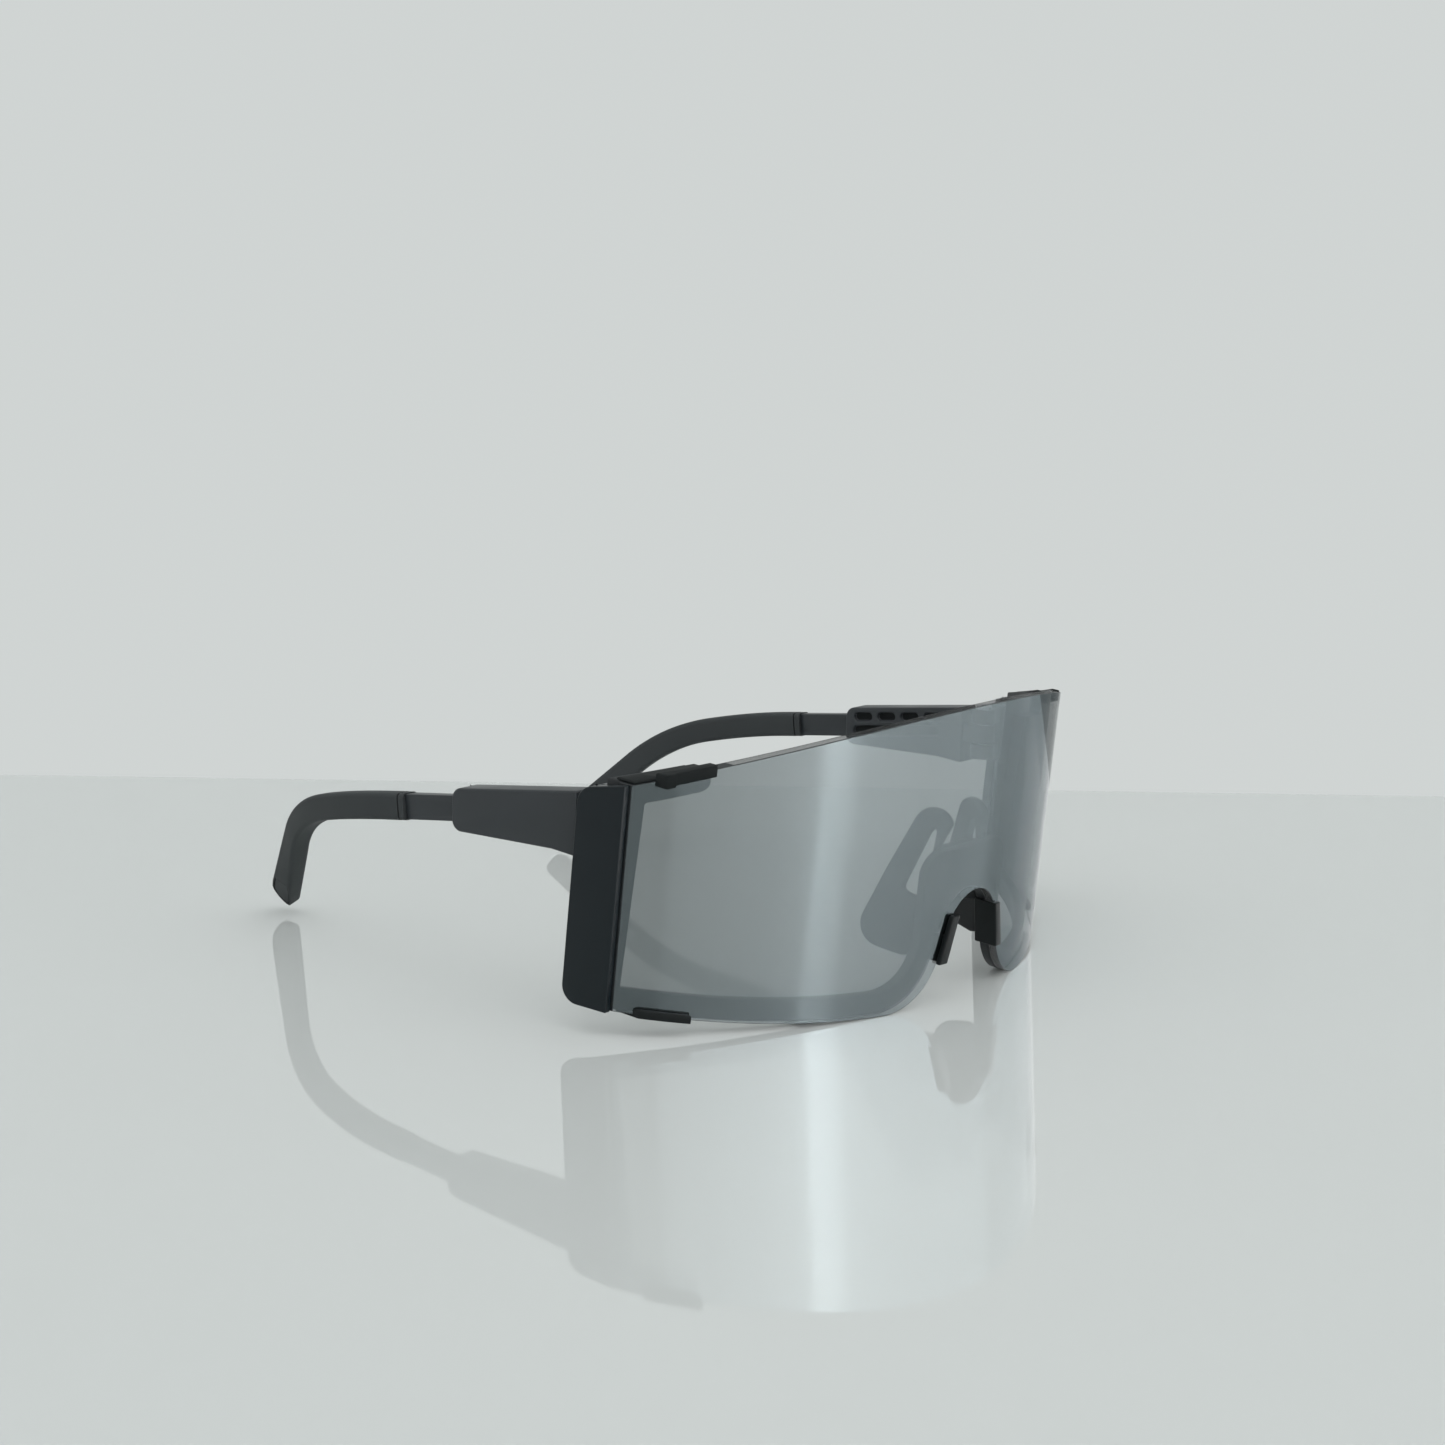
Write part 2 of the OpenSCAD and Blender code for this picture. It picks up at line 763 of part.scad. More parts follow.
// wide front of an arm, with the channel for its bar
module arm_housing() {
    channel_depth = bar_inside + slide_travel + 2;
    neck_width = 4.4;
    color([0.235, 0.25, 0.258]) difference() {
        union() {
            translate([hinge_x - arm_thickness / 2 + arm_shift, 0, 0])
                rotate([90, 0, 90]) linear_extrude(arm_thickness) arm_side();
            translate([hinge_x, hinge_y, hinge_z - knuckle_height / 2]) {
                cylinder(r = knuckle_radius, h = knuckle_height);
                translate([-neck_width / 2, 0, 0]) cube([neck_width, arm_standoff + 1, knuckle_height]);
            }
        }
        translate([hinge_x, hinge_y, hinge_z - spare]) cylinder(r = pin_radius + pin_clearance, h = 2 * spare);
        bar_frame() {
            translate([-channel_height / 2, -channel_thickness / 2, -channel_depth])
                cube([channel_height, channel_thickness, channel_depth + spare]);
            stop_round(stop_radius + pin_seat, 0.05);
            arm_pockets();
        }
    }
}

// row of short pockets over one long slot, in the inner face of an arm
module arm_pockets() {
    row_rise = 2.1;
    row_rear = 5;
    row_width = 1.9;
    slot_drop = 1;
    slot_length = 22.6;
    slot_middle = 13.4;
    slot_width = 2.3;
    for (i = [0:3]) translate([-row_rise, 0, -row_rear - i * pocket_pitch]) pocket(pocket_length, row_width);
    translate([slot_drop, 0, -slot_middle]) pocket(slot_length, slot_width);
}

module pocket(length, width) {
    translate([0, arm_thickness / 2 - arm_shift - pocket_depth, 0])
        rotate([-90, 0, 0]) linear_extrude(pocket_depth + 1) pill(length, width);
}

// round through the channel and into its two walls, for the stop pin or its blind seat
module stop_round(r, more) {
    outer_seat = 0.6 + more;
    inner_seat = 0.2 + more;
    translate([0, -channel_thickness / 2 - outer_seat, -stop_back]) rotate([-90, 0, 0])
        cylinder(r = r, h = channel_thickness + outer_seat + inner_seat);
}

// pin that limits the travel of a bar
module stop_pin() color([0.55, 0.56, 0.57]) bar_frame() stop_round(stop_radius, 0);

// flat bar that slides in the arm, stepped down where it enters its tip
module sliding_bar() {
    slot_radius = stop_radius + slide_clearance;
    color([0.22, 0.235, 0.243]) bar_frame() difference() {
        union() {
            translate([-bar_height / 2, -bar_thickness / 2, -bar_inside])
                cube([bar_height, bar_thickness, bar_inside + bar_reach]);
            translate([bar_step - bar_height / 2, -bar_thickness / 2, 0])
                cube([bar_height - 2 * bar_step, bar_thickness, bar_outside]);
        }
        translate([0, -spare / 2, -stop_back]) rotate([-90, 0, 0]) linear_extrude(spare)
            pill(2 * (slide_travel + slot_radius), 2 * slot_radius);
    }
}

// rounded section of a tip
module tip_section(height, thickness, r) {
    square([height - 2 * r, thickness], center = true);
    square([height, thickness - 2 * r], center = true);
    for (x = [-1, 1]) for (y = [-1, 1])
        translate([x * (height / 2 - r), y * (thickness / 2 - r)]) circle(r = r);
}

// collar between a bar and its tip
module tip_collar() {
    tip_gap = 0.3;
    rim_height = 0.35;
    rim_thickness = 0.2;
    rim_rounding = 1;
    color([0.17, 0.18, 0.185]) bar_frame() translate([0, 0, bar_reach - collar_length - tip_gap])
        linear_extrude(collar_length) difference() {
            tip_section(tip_height + rim_height, tip_thickness + rim_thickness, rim_rounding);
            square([bar_height + 2 * bar_fit, socket_thickness], center = true);
        }
}

// where a turn of given radius, angle and roll ends
module after_turn(radius, angle, roll) {
    rotate([0, 0, roll]) translate([radius, 0, 0]) rotate([0, angle, 0])
        translate([-radius, 0, 0]) rotate([0, 0, -roll]) children();
}

// turn of a flat section
module turned(radius, angle, roll) {
    rotate([0, 0, roll]) translate([radius, 0, 0]) rotate([90, 0, 180])
        rotate_extrude(angle = angle) translate([radius, 0]) mirror([1, 0]) rotate(-roll) children();
}

// round straight length of the wire, a little fuller than its turns and lapped over them
module wire_straight(length) translate([0, 0, -lap]) cylinder(r = wire_radius + fullness, h = length + 2 * lap);

// wire inside a tip
module tip_wire() {
    color([0.6, 0.61, 0.62]) bar_frame() translate([0, 0, bar_outside]) {
        cylinder(r = wire_radius + fullness, h = wire_lead + lap);
        translate([0, 0, wire_lead]) {
            turned(set_radius, set_angle, set_roll) circle(r = wire_radius);
            after_turn(set_radius, set_angle, set_roll) {
                wire_straight(mid_length);
                translate([0, 0, mid_length]) {
                    turned(hook_radius, hook_angle, hook_roll) circle(r = wire_radius);
                    after_turn(hook_radius, hook_angle, hook_roll)
                        wire_straight(tail_length - wire_short - lap);
                }
            }
        }
    }
}

module sleeve_section(more = 0) {
    tip_section(tip_height + 2 * more, tip_thickness + 2 * more, tip_rounding + more);
}

// straight length of a sleeve, a little fuller than its turns and lapped over them
module sleeve_straight(length) {
    translate([0, 0, -lap]) linear_extrude(length + 2 * lap) sleeve_section(fullness);
}

// soft sleeve of a tip, hooked behind the ear and moulded round its wire
module tip_sleeve() {
    color([0.2, 0.212, 0.22]) bar_frame() {
        difference() {
            translate([0, 0, bar_reach])
                linear_extrude(bar_outside - bar_reach + wire_lead + lap) sleeve_section(fullness);
            translate([-socket_height / 2, -socket_thickness / 2, bar_reach - 1])
                cube([socket_height, socket_thickness, bar_outside - bar_reach + 1]);
        }
        translate([0, 0, bar_outside + wire_lead]) {
            turned(set_radius, set_angle, set_roll) sleeve_section();
            after_turn(set_radius, set_angle, set_roll) {
                sleeve_straight(mid_length);
                translate([0, 0, mid_length]) {
                    turned(hook_radius, hook_angle, hook_roll) sleeve_section();
                    after_turn(hook_radius, hook_angle, hook_roll) tip_tail(tip_height / 2 + fullness);
                }
            }
        }
    }
}

// straight end of a tip with a slanted facet
module tip_tail(cap) {
    facet_back = 5.2;
    facet_angle = 32;
    facet_lead = 4;
    body = tail_length - cap;
    difference() {
        intersection() {
            translate([0, 0, -lap]) linear_extrude(tail_length + lap) sleeve_section(fullness);
            union() {
                translate([-spare, -spare, -spare]) cube([2 * spare, 2 * spare, body + spare]);
                translate([0, 0, body]) rotate([90, 0, 0]) cylinder(r = cap, h = spare, center = true);
            }
        }
        translate([-cap, 0, tail_length - facet_back]) rotate([0, facet_angle, 0])
            translate([-spare, -spare / 2, -facet_lead]) cube([spare, spare, spare + facet_lead]);
    }
}

place() lens();
place() front_frame();
place() flip() side_panel();  // right_side_panel
place() side_panel();  // left_side_panel
place() flip() hinge_bracket();  // right_hinge_bracket
place() hinge_bracket();  // left_hinge_bracket
place() flip() hinge_pin();  // right_hinge_pin
place() hinge_pin();  // left_hinge_pin
place() flip() brow_clip();  // right_brow_clip
place() brow_clip();  // left_brow_clip
place() flip() lower_clip();  // right_lower_clip
place() lower_clip();  // left_lower_clip
place() flip() nose_clip();  // right_nose_clip
place() nose_clip();  // left_nose_clip
place() nose_saddle();
place() flip() nose_wing();  // right_nose_wing
place() nose_wing();  // left_nose_wing
place() flip() arm_housing();  // right_arm_housing
place() arm_housing();  // left_arm_housing
place() flip() stop_pin();  // right_stop_pin
place() stop_pin();  // left_stop_pin
place() flip() sliding_bar();  // right_sliding_bar
place() sliding_bar();  // left_sliding_bar
place() flip() tip_collar();  // right_tip_collar
place() tip_collar();  // left_tip_collar
place() flip() tip_wire();  // right_tip_wire
place() tip_wire();  // left_tip_wire
place() flip() tip_sleeve();  // right_tip_sleeve
place() tip_sleeve();  // left_tip_sleeve
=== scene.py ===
"""Shield glasses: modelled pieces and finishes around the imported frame, laid out as an add-on."""

import json
import math

import bpy
from mathutils import Matrix, Vector
from mathutils.kdtree import KDTree

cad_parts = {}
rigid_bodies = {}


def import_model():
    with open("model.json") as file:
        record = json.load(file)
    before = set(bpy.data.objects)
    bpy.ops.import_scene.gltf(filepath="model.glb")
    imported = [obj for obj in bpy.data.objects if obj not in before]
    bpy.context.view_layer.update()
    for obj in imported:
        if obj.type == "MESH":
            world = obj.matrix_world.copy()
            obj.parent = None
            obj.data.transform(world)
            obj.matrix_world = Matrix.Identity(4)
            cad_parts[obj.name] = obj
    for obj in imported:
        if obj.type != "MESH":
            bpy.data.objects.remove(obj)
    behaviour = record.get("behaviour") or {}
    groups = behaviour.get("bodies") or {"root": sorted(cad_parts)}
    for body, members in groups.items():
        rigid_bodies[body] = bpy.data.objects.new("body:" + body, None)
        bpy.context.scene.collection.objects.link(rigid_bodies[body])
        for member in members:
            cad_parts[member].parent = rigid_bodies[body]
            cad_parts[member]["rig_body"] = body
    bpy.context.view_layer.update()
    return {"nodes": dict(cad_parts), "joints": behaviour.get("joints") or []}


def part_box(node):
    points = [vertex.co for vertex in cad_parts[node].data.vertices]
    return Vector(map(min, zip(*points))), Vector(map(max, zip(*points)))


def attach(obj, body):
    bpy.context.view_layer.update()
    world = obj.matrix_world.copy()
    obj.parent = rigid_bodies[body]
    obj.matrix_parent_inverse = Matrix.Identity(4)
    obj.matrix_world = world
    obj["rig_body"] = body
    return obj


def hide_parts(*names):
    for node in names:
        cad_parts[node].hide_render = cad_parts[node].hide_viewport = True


bl_info = {
    "name": "Shield Glasses",
    "version": (1, 0, 0),
    "blender": (4, 5, 0),
    "location": "3D View > Sidebar > Glasses",
    "description": "Models the pieces and finishes of a pair of shield glasses around their frame",
    "category": "Object",
}

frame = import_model()
NODES = frame["nodes"]
JOINTS = {joint["name"]: joint for joint in frame["joints"]}
MM = 0.001
SIDES = ("left", "right")


def length(name, description, millimetres):
    """A size property in metres, with its default given in millimetres."""
    return bpy.props.FloatProperty(
        name=name, description=description, default=millimetres * MM, unit="LENGTH", precision=5)


def angle(name, description, degrees):
    """An angle property, with its default given in degrees."""
    return bpy.props.FloatProperty(
        name=name, description=description, default=math.radians(degrees), subtype="ANGLE")


def share(name, description, default):
    """A property from 0 to 1."""
    return bpy.props.FloatProperty(
        name=name, description=description, default=default, min=0, max=1, subtype="FACTOR")


def colour(name, description, default):
    """A colour property."""
    return bpy.props.FloatVectorProperty(
        name=name, description=description, default=default, min=0, max=1, size=3, subtype="COLOR")


class GlassesLensSizes(bpy.types.PropertyGroup):
    """Outline and curve of the lens."""

    radius: length("Radius", "Radius of the outer face", 88)
    thickness: length("Thickness", "Thickness of the lens", 1.8)
    half_width: length("Half width", "Half the width of the lens", 68.3)
    height: length("Height", "Height of the lens at its deepest place", 58.6)
    tilt: angle("Tilt", "Lean of the lens, lower edge towards the face", 4.64)
    brow_radius: length("Brow radius", "Radius of the brow line", 175)
    sweep_radius: length("Sweep radius", "Radius of the sweep along the lower edge", 430)
    corner_x: length("Corner place", "Distance of the lower inner corner from the middle", 23.5)
    corner_radius: length("Corner radius", "Radius of the lower inner corner", 14)
    arch_rise: length("Arch rise", "Height of the top of the nose arch over the lowest edge", 21.7)
    arch_radius: length("Arch radius", "Radius of the nose arch", 8.6)
    arch_half_width: length("Arch half width", "Half the nose gap where the arch ends", 7.2)
    gap_half_width: length("Gap half width", "Half the width of the nose gap at the bottom", 9.7)
    gap_rise: length("Gap rise", "Height where the nose gap has its full width", 8.1)
    rim_edge: length("Rim rounding", "Rounding of the rim", 0.12)


class GlassesTipSizes(bpy.types.PropertyGroup):
    """Section and bends of the soft tips."""

    height: length("Height", "Height of the section", 5.3)
    thickness: length("Thickness", "Thickness of the section", 4.1)
    rounding: length("Rounding", "Rounding of the section", 0.9)
    start: length("Start", "Distance from the shoulder to the front of a tip", 15)
    socket: length("Socket", "Straight length that holds the bar", 2.6)
    set_radius: length("Set radius", "Radius of the turn towards the head", 69.6)
    set_angle: angle("Set angle", "Turn towards the head", 15.9)
    set_roll: angle("Set roll", "Roll of that turn, a right angle is level", 69.3)
    mid_length: length("Middle length", "Straight length between turn and hook", 2)
    hook_radius: length("Hook radius", "Radius of the hook", 34.6)
    hook_angle: angle("Hook angle", "Bend of the hook behind the ear", 35.7)
    hook_roll: angle("Hook roll", "Roll of the hook, zero is straight down", 23.3)
    tail_length: length("Tail length", "Straight length at the end", 25)
    tail_spread: share("Tail spread", "Share by which the tail grows higher to its end", 0.1)
    tail_roll: angle("Tail roll", "Twist of the tail to its end", 22)
    facet_angle: angle("Facet slant", "Slant of the facet", 8)
    facet_turn: angle("Facet turn", "Turn of the facet from the rear to the outside", 90)
    facet_out: length("Facet place", "Distance of the facet from the middle of the end", 0.8)
    end_length: length("End length", "Length of the rounded end", 2.2)
    stop_back: length("Stop place", "Distance of the stop pin in front of the shoulder", 8)


class GlassesWingSizes(bpy.types.PropertyGroup):
    """Place and lean of the nose wings, and shape of the saddle between them."""

    thickness: length("Thickness", "Thickness of a wing", 2)
    root_x: length("Root", "Distance of a wing from the middle", 10)
    root_back: length("Root place", "Distance of a wing behind the lens front", 8.8)
    root_drop: length("Root drop", "Depth of a wing under the brow line", 35.4)
    flare: angle("Flare", "Outward lean of a wing", 12)
    splay: angle("Splay", "Turn of a wing towards the temples", 15)
    saddle_front: length("Saddle front", "Distance of the saddle behind the lens", 2.15)
    saddle_reach: length("Saddle reach", "Reach of the packed saddle behind the frame", 6.2)
    saddle_taper: share("Saddle taper", "Share by which the saddle grows narrower to the rear", 0.3)
    saddle_share: share("Saddle share", "Share of the reach that the moulded saddle keeps", 0.42)


class GlassesEdges(bpy.types.PropertyGroup):
    """Rounding of the moulded and machined edges, and the depth of the pockets."""

    frame: length("Frame", "Rounding of the frame edges", 0.3)
    panel: length("Panel", "Rounding of the side panel edges", 0.3)
    clip: length("Clip", "Rounding of the clip edges", 0.25)
    arm: length("Arm", "Rounding of the arm edges", 0.45)
    pocket: length("Pocket", "Depth of the pockets in the arms", 0.7)
    bar: length("Bar", "Rounding of the bar edges", 0.3)
    collar: length("Collar", "Rounding of the collar edges", 0.12)
    metal: length("Metal", "Rounding of the hinge edges", 0.12)
    saddle: length("Saddle", "Rounding of the nose saddle edges", 0.6)


class GlassesColours(bpy.types.PropertyGroup):
    """Colours of the finishes."""

    mirror: colour("Mirror", "Mirror coat on the lens", (0.208, 0.244, 0.257))
    smoke: colour("Smoke", "Smoke tint inside the lens", (0.015, 0.015, 0.015))
    rim: colour("Rim", "Cut rim of the lens", (0.02, 0.024, 0.026))
    panel: colour("Panel", "Satin black plastic of the side panels", (0.001, 0.0056, 0.0085))
    clip: colour("Clip", "Matt black plastic of the clips", (0.008, 0.0105, 0.011))
    frame: colour("Frame", "Dark plastic of the frame", (0.014, 0.017, 0.019))
    arm: colour("Arm", "Charcoal plastic of arms and bars", (0.025, 0.030, 0.034))
    # Painted shade: a darker colour for the pocket floors, standing in for the shade that falls in the
    # recesses
    pocket: colour("Pocket", "Floors of the pockets in the arms", (0.007, 0.0085, 0.009))
    rubber: colour("Rubber", "Soft rubber of the tips", (0.033, 0.038, 0.040))
    nose: colour("Nose", "Soft rubber of the nose piece", (0.012, 0.014, 0.015))
    bracket: colour("Bracket", "Dark metal of the hinges", (0.09, 0.092, 0.096))
    steel: colour("Steel", "Bright steel of pins and wires", (0.55, 0.56, 0.57))
    floor: colour("Floor", "Glossy pale floor", (0.60, 0.63, 0.622))
    wall: colour("Wall", "Pale backdrop", (0.63, 0.66, 0.652))
    sky: colour("Sky", "Light from all round", (0.66, 0.66, 0.66))


class GlassesStageSizes(bpy.types.PropertyGroup):
    """Camera and lights."""

    lens: bpy.props.FloatProperty(
        name="Focal length", description="Focal length in millimetres", default=69.31,
        subtype="DISTANCE_CAMERA")
    horizon: bpy.props.FloatProperty(
        name="Horizon", description="Strength of the world light at the horizon", default=1, min=0)
    zenith: bpy.props.FloatProperty(
        name="Zenith", description="Strength of the world light overhead", default=1.9, min=0)
    window: bpy.props.FloatProperty(
        name="Window", description="Strength of the window in the lens", default=13.6, min=0)
    key: bpy.props.FloatProperty(
        name="Key", description="Power of the overhead light", default=4, min=0, unit="POWER")


class GlassesSettings(bpy.types.PropertyGroup):
    """All sizes and colours of the glasses."""

    lens: bpy.props.PointerProperty(type=GlassesLensSizes)
    tips: bpy.props.PointerProperty(type=GlassesTipSizes)
    wings: bpy.props.PointerProperty(type=GlassesWingSizes)
    edges: bpy.props.PointerProperty(type=GlassesEdges)
    colours: bpy.props.PointerProperty(type=GlassesColours)
    stage: bpy.props.PointerProperty(type=GlassesStageSizes)


def settings():
    """The settings of the current scene."""
    return bpy.context.scene.glasses


# Modelling helpers

# Cosine between two edges at a vertex below which one runs on into the other
RUNS_ON = -0.8
# How far round an edge others are looked for, in widths of its rounding
SEARCH_WIDTHS = 2.2
# Share of the room to the next edge that a rounding may take
ROOM_SHARE = 0.45
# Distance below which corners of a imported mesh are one, and angle below which its faces are flat
PACKED_MERGE = 2e-6
PACKED_FLAT = math.radians(0.4)


def activate(piece):
    """Makes one object the only selected one."""
    if bpy.context.mode != "OBJECT":
        bpy.ops.object.mode_set(mode="OBJECT")
    bpy.ops.object.select_all(action="DESELECT")
    piece.select_set(True)
    bpy.context.view_layer.objects.active = piece


def edit(piece, select="SELECT"):
    """Opens an object in edit mode with everything selected or nothing."""
    activate(piece)
    bpy.ops.object.mode_set(mode="EDIT")
    bpy.ops.mesh.select_mode(type="VERT")
    bpy.ops.mesh.select_all(action=select)


def done():
    """Leaves edit mode."""
    bpy.ops.object.mode_set(mode="OBJECT")


def name_new(name):
    """Names the object that a primitive operator has just added."""
    piece = bpy.context.active_object
    piece.name = name
    piece.data.name = name
    return piece


def apply_place(piece):
    """Puts an object's place, turn and scale into its mesh."""
    activate(piece)
    bpy.ops.object.transform_apply(location=True, rotation=True, scale=True)


def outward(piece, merge=1e-7):
    """Merges doubles and turns all faces outwards."""
    edit(piece)
    bpy.ops.mesh.remove_doubles(threshold=merge)
    bpy.ops.mesh.normals_make_consistent(inside=False)
    done()


def modify(piece, kind, **values):
    """Adds a modifier, sets its values and applies it."""
    activate(piece)
    bpy.ops.object.modifier_add(type=kind)
    modifier = piece.modifiers[-1]
    for key, value in values.items():
        setattr(modifier, key, value)
    bpy.ops.object.modifier_apply(modifier=modifier.name)


def sharp_edges(mesh, limit):
    """Numbers of the edges that are sharper than the limit."""
    faces = {}
    for face in mesh.polygons:
        for key in face.edge_keys:
            faces.setdefault(key, []).append(face.normal)
    sharp = []
    for edge in mesh.edges:
        sides = faces.get(tuple(sorted(edge.vertices)), [])
        if len(sides) == 2 and sides[0].angle(sides[1], 0) > math.radians(limit):
            sharp.append(edge.index)
    return sharp


def edge_chains(mesh, sharp):
    """Joins edges that run on smoothly into chains, and lists the chains that touch each other."""
    chain = {number: number for number in sharp}

    def head(number):
        while chain[number] != number:
            number = chain[number]
        return number

    meeting = {}
    for number in sharp:
        for vertex in mesh.edges[number].vertices:
            meeting.setdefault(vertex, []).append(number)
    for vertex, numbers in meeting.items():
        here = mesh.vertices[vertex].co
        ways = []
        for number in numbers:
            ends = mesh.edges[number].vertices
            other = ends[0] if ends[1] == vertex else ends[1]
            ways.append((mesh.vertices[other].co - here).normalized())
        for first in range(len(numbers)):
            for second in range(first):
                if ways[first].dot(ways[second]) < RUNS_ON:
                    chain[head(numbers[first])] = head(numbers[second])
    heads = {number: head(number) for number in sharp}
    touching = {}
    for numbers in meeting.values():
        together = {heads[number] for number in numbers}
        for one in together:
            touching.setdefault(one, set()).update(together)
    return heads, touching


def round_edges(piece, width, segments=3, limit=30):
    """Rounds the edges that are sharper than the limit, less where other edges are near."""
    mesh = piece.data
    sharp = sharp_edges(mesh, limit)
    heads, touching = edge_chains(mesh, sharp)
    places = []
    for number in sharp:
        start, end = [mesh.vertices[vertex].co for vertex in mesh.edges[number].vertices]
        steps = max(2, math.ceil((end - start).length / (width / 2)))
        places.extend((start.lerp(end, (step + 0.5) / steps), number) for step in range(steps))
    tree = KDTree(len(places))
    for index, (place, number) in enumerate(places):
        tree.insert(place, index)
    tree.balance()
    room = {number: SEARCH_WIDTHS * width for number in sharp}
    for place, number in places:
        for found, index, distance in tree.find_range(place, SEARCH_WIDTHS * width):
            if heads[places[index][1]] not in touching[heads[number]]:
                room[number] = min(room[number], distance)
    weights = mesh.attributes.new("bevel_weight_edge", "FLOAT", "EDGE")
    for number in sharp:
        weights.data[number].value = min(1, ROOM_SHARE * room[number] / width)
    modify(piece, "BEVEL", width=width, segments=segments, limit_method="WEIGHT",
           use_clamp_overlap=False, harden_normals=False)


def smooth(piece, limit=32):
    """Shades smooth, except at edges that are sharper than the limit."""
    activate(piece)
    bpy.ops.object.shade_smooth_by_angle(angle=math.radians(limit))


def copy_node(node, name):
    """Copies a CAD node's mesh, merges it and joins its flat triangles."""
    bpy.ops.object.select_all(action="DESELECT")
    piece = bpy.data.objects.new(name, NODES[node].data.copy())
    piece.data.materials.clear()
    bpy.context.scene.collection.objects.link(piece)
    edit(piece)
    bpy.ops.mesh.customdata_custom_splitnormals_clear()
    bpy.ops.mesh.remove_doubles(threshold=PACKED_MERGE)
    bpy.ops.mesh.dissolve_limited(angle_limit=PACKED_FLAT)
    done()
    return piece


def mirror_copy(piece, name):
    """Copies a left piece to the right side."""
    activate(piece)
    bpy.ops.object.duplicate()
    twin = name_new(name)
    twin.scale.x = -1
    apply_place(twin)
    outward(twin)
    return twin


def finish(piece, node, finish_material):
    """Gives a piece its finish and the body of the CAD node that it stands for, and hides that node."""
    piece.data.materials.clear()
    piece.data.materials.append(finish_material)
    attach(piece, NODES[node]["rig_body"])
    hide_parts(node)


def finished_copies(nodes, edge, finish_material, segments=3):
    """Rounds the edges of copies of some CAD nodes, gives them one finish and returns them."""
    pieces = []
    for node in nodes:
        piece = copy_node(node, node + "_moulding")
        round_edges(piece, edge, segments)
        smooth(piece)
        finish(piece, node, finish_material)
        pieces.append(piece)
    return pieces


def both(node):
    """The names of a node on both sides."""
    return [side + "_" + node for side in SIDES]


# Finishes

# Part of a noise's range that its changes are spread over
NOISE_LOW = 0.3
NOISE_HIGH = 0.7
# Scale per metre of the slow changes in plastic and rubber, and how much they change the roughness
CLOUD_SCALE = 90
CLOUD_GLOSS = 0.05
# Depth of the moulded grain in metres
GRAIN_DEPTH = 0.00003
# How much each face of the lens covers what is behind it
MIRROR_COVER = 0.56
SMOKE_COVER = 0.55
RIM_COVER = 0.25


def new_material(name):
    """A node material and its Principled shader."""
    material = bpy.data.materials.new(name)
    material.use_nodes = True
    return material, material.node_tree, material.node_tree.nodes["Principled BSDF"]


def add_noise(tree, scale, detail=2):
    """A noise on Object coordinates, with its scale per metre."""
    place = tree.nodes.new("ShaderNodeTexCoord")
    noise = tree.nodes.new("ShaderNodeTexNoise")
    noise.inputs["Scale"].default_value = scale
    noise.inputs["Detail"].default_value = detail
    tree.links.new(place.outputs["Object"], noise.inputs["Vector"])
    return noise


def vary(tree, noise, low, high, socket):
    """Drives a number socket from a noise."""
    spread = tree.nodes.new("ShaderNodeMapRange")
    spread.inputs["From Min"].default_value = NOISE_LOW
    spread.inputs["From Max"].default_value = NOISE_HIGH
    spread.inputs["To Min"].default_value = low
    spread.inputs["To Max"].default_value = high
    tree.links.new(noise.outputs["Fac"], spread.inputs["Value"])
    tree.links.new(spread.outputs["Result"], socket)


def vary_colour(tree, noise, base, change, socket):
    """Drives a colour socket between a darker and a lighter shade from a noise."""
    ramp = tree.nodes.new("ShaderNodeValToRGB")
    ramp.color_ramp.elements[0].position = NOISE_LOW
    ramp.color_ramp.elements[1].position = NOISE_HIGH
    ramp.color_ramp.elements[0].color = [c * (1 - change) for c in base] + [1]
    ramp.color_ramp.elements[1].color = [c * (1 + change) for c in base] + [1]
    tree.links.new(noise.outputs["Fac"], ramp.inputs["Fac"])
    tree.links.new(ramp.outputs["Color"], socket)


def add_math(tree, operation, first, second):
    """Adds a Math node on two sockets or numbers, and returns its value."""
    node = tree.nodes.new("ShaderNodeMath")
    node.operation = operation
    for number, value in enumerate((first, second)):
        if isinstance(value, bpy.types.NodeSocket):
            tree.links.new(value, node.inputs[number])
        else:
            node.inputs[number].default_value = value
    return node.outputs["Value"]


def add_grain(tree, shader, scale, strength):
    """Gives the surface a fine moulded grain."""
    bump = tree.nodes.new("ShaderNodeBump")
    bump.inputs["Strength"].default_value = strength
    bump.inputs["Distance"].default_value = GRAIN_DEPTH
    tree.links.new(add_noise(tree, scale, 3).outputs["Fac"], bump.inputs["Height"])
    tree.links.new(bump.outputs["Normal"], shader.inputs["Normal"])


def moulded(name, base, roughness, grain=4000, strength=0.25, specular=0.4, cover=1):
    """Moulded plastic or rubber: a fine grain, and slow changes of shade and gloss."""
    material, tree, shader = new_material(name)
    cloud = add_noise(tree, CLOUD_SCALE)
    vary_colour(tree, cloud, base, 0.08, shader.inputs["Base Color"])
    vary(tree, cloud, roughness - CLOUD_GLOSS, roughness + CLOUD_GLOSS, shader.inputs["Roughness"])
    add_grain(tree, shader, grain, strength)
    shader.inputs["Specular IOR Level"].default_value = specular
    shader.inputs["Alpha"].default_value = cover
    return material


def metal(name, base, roughness):
    """Turned or pressed metal with fine marks along it."""
    material, tree, shader = new_material(name)
    shader.inputs["Metallic"].default_value = 1
    marks = add_noise(tree, 2500, 4)
    vary_colour(tree, marks, base, 0.1, shader.inputs["Base Color"])
    vary(tree, marks, roughness - 0.08, roughness + 0.08, shader.inputs["Roughness"])
    return material


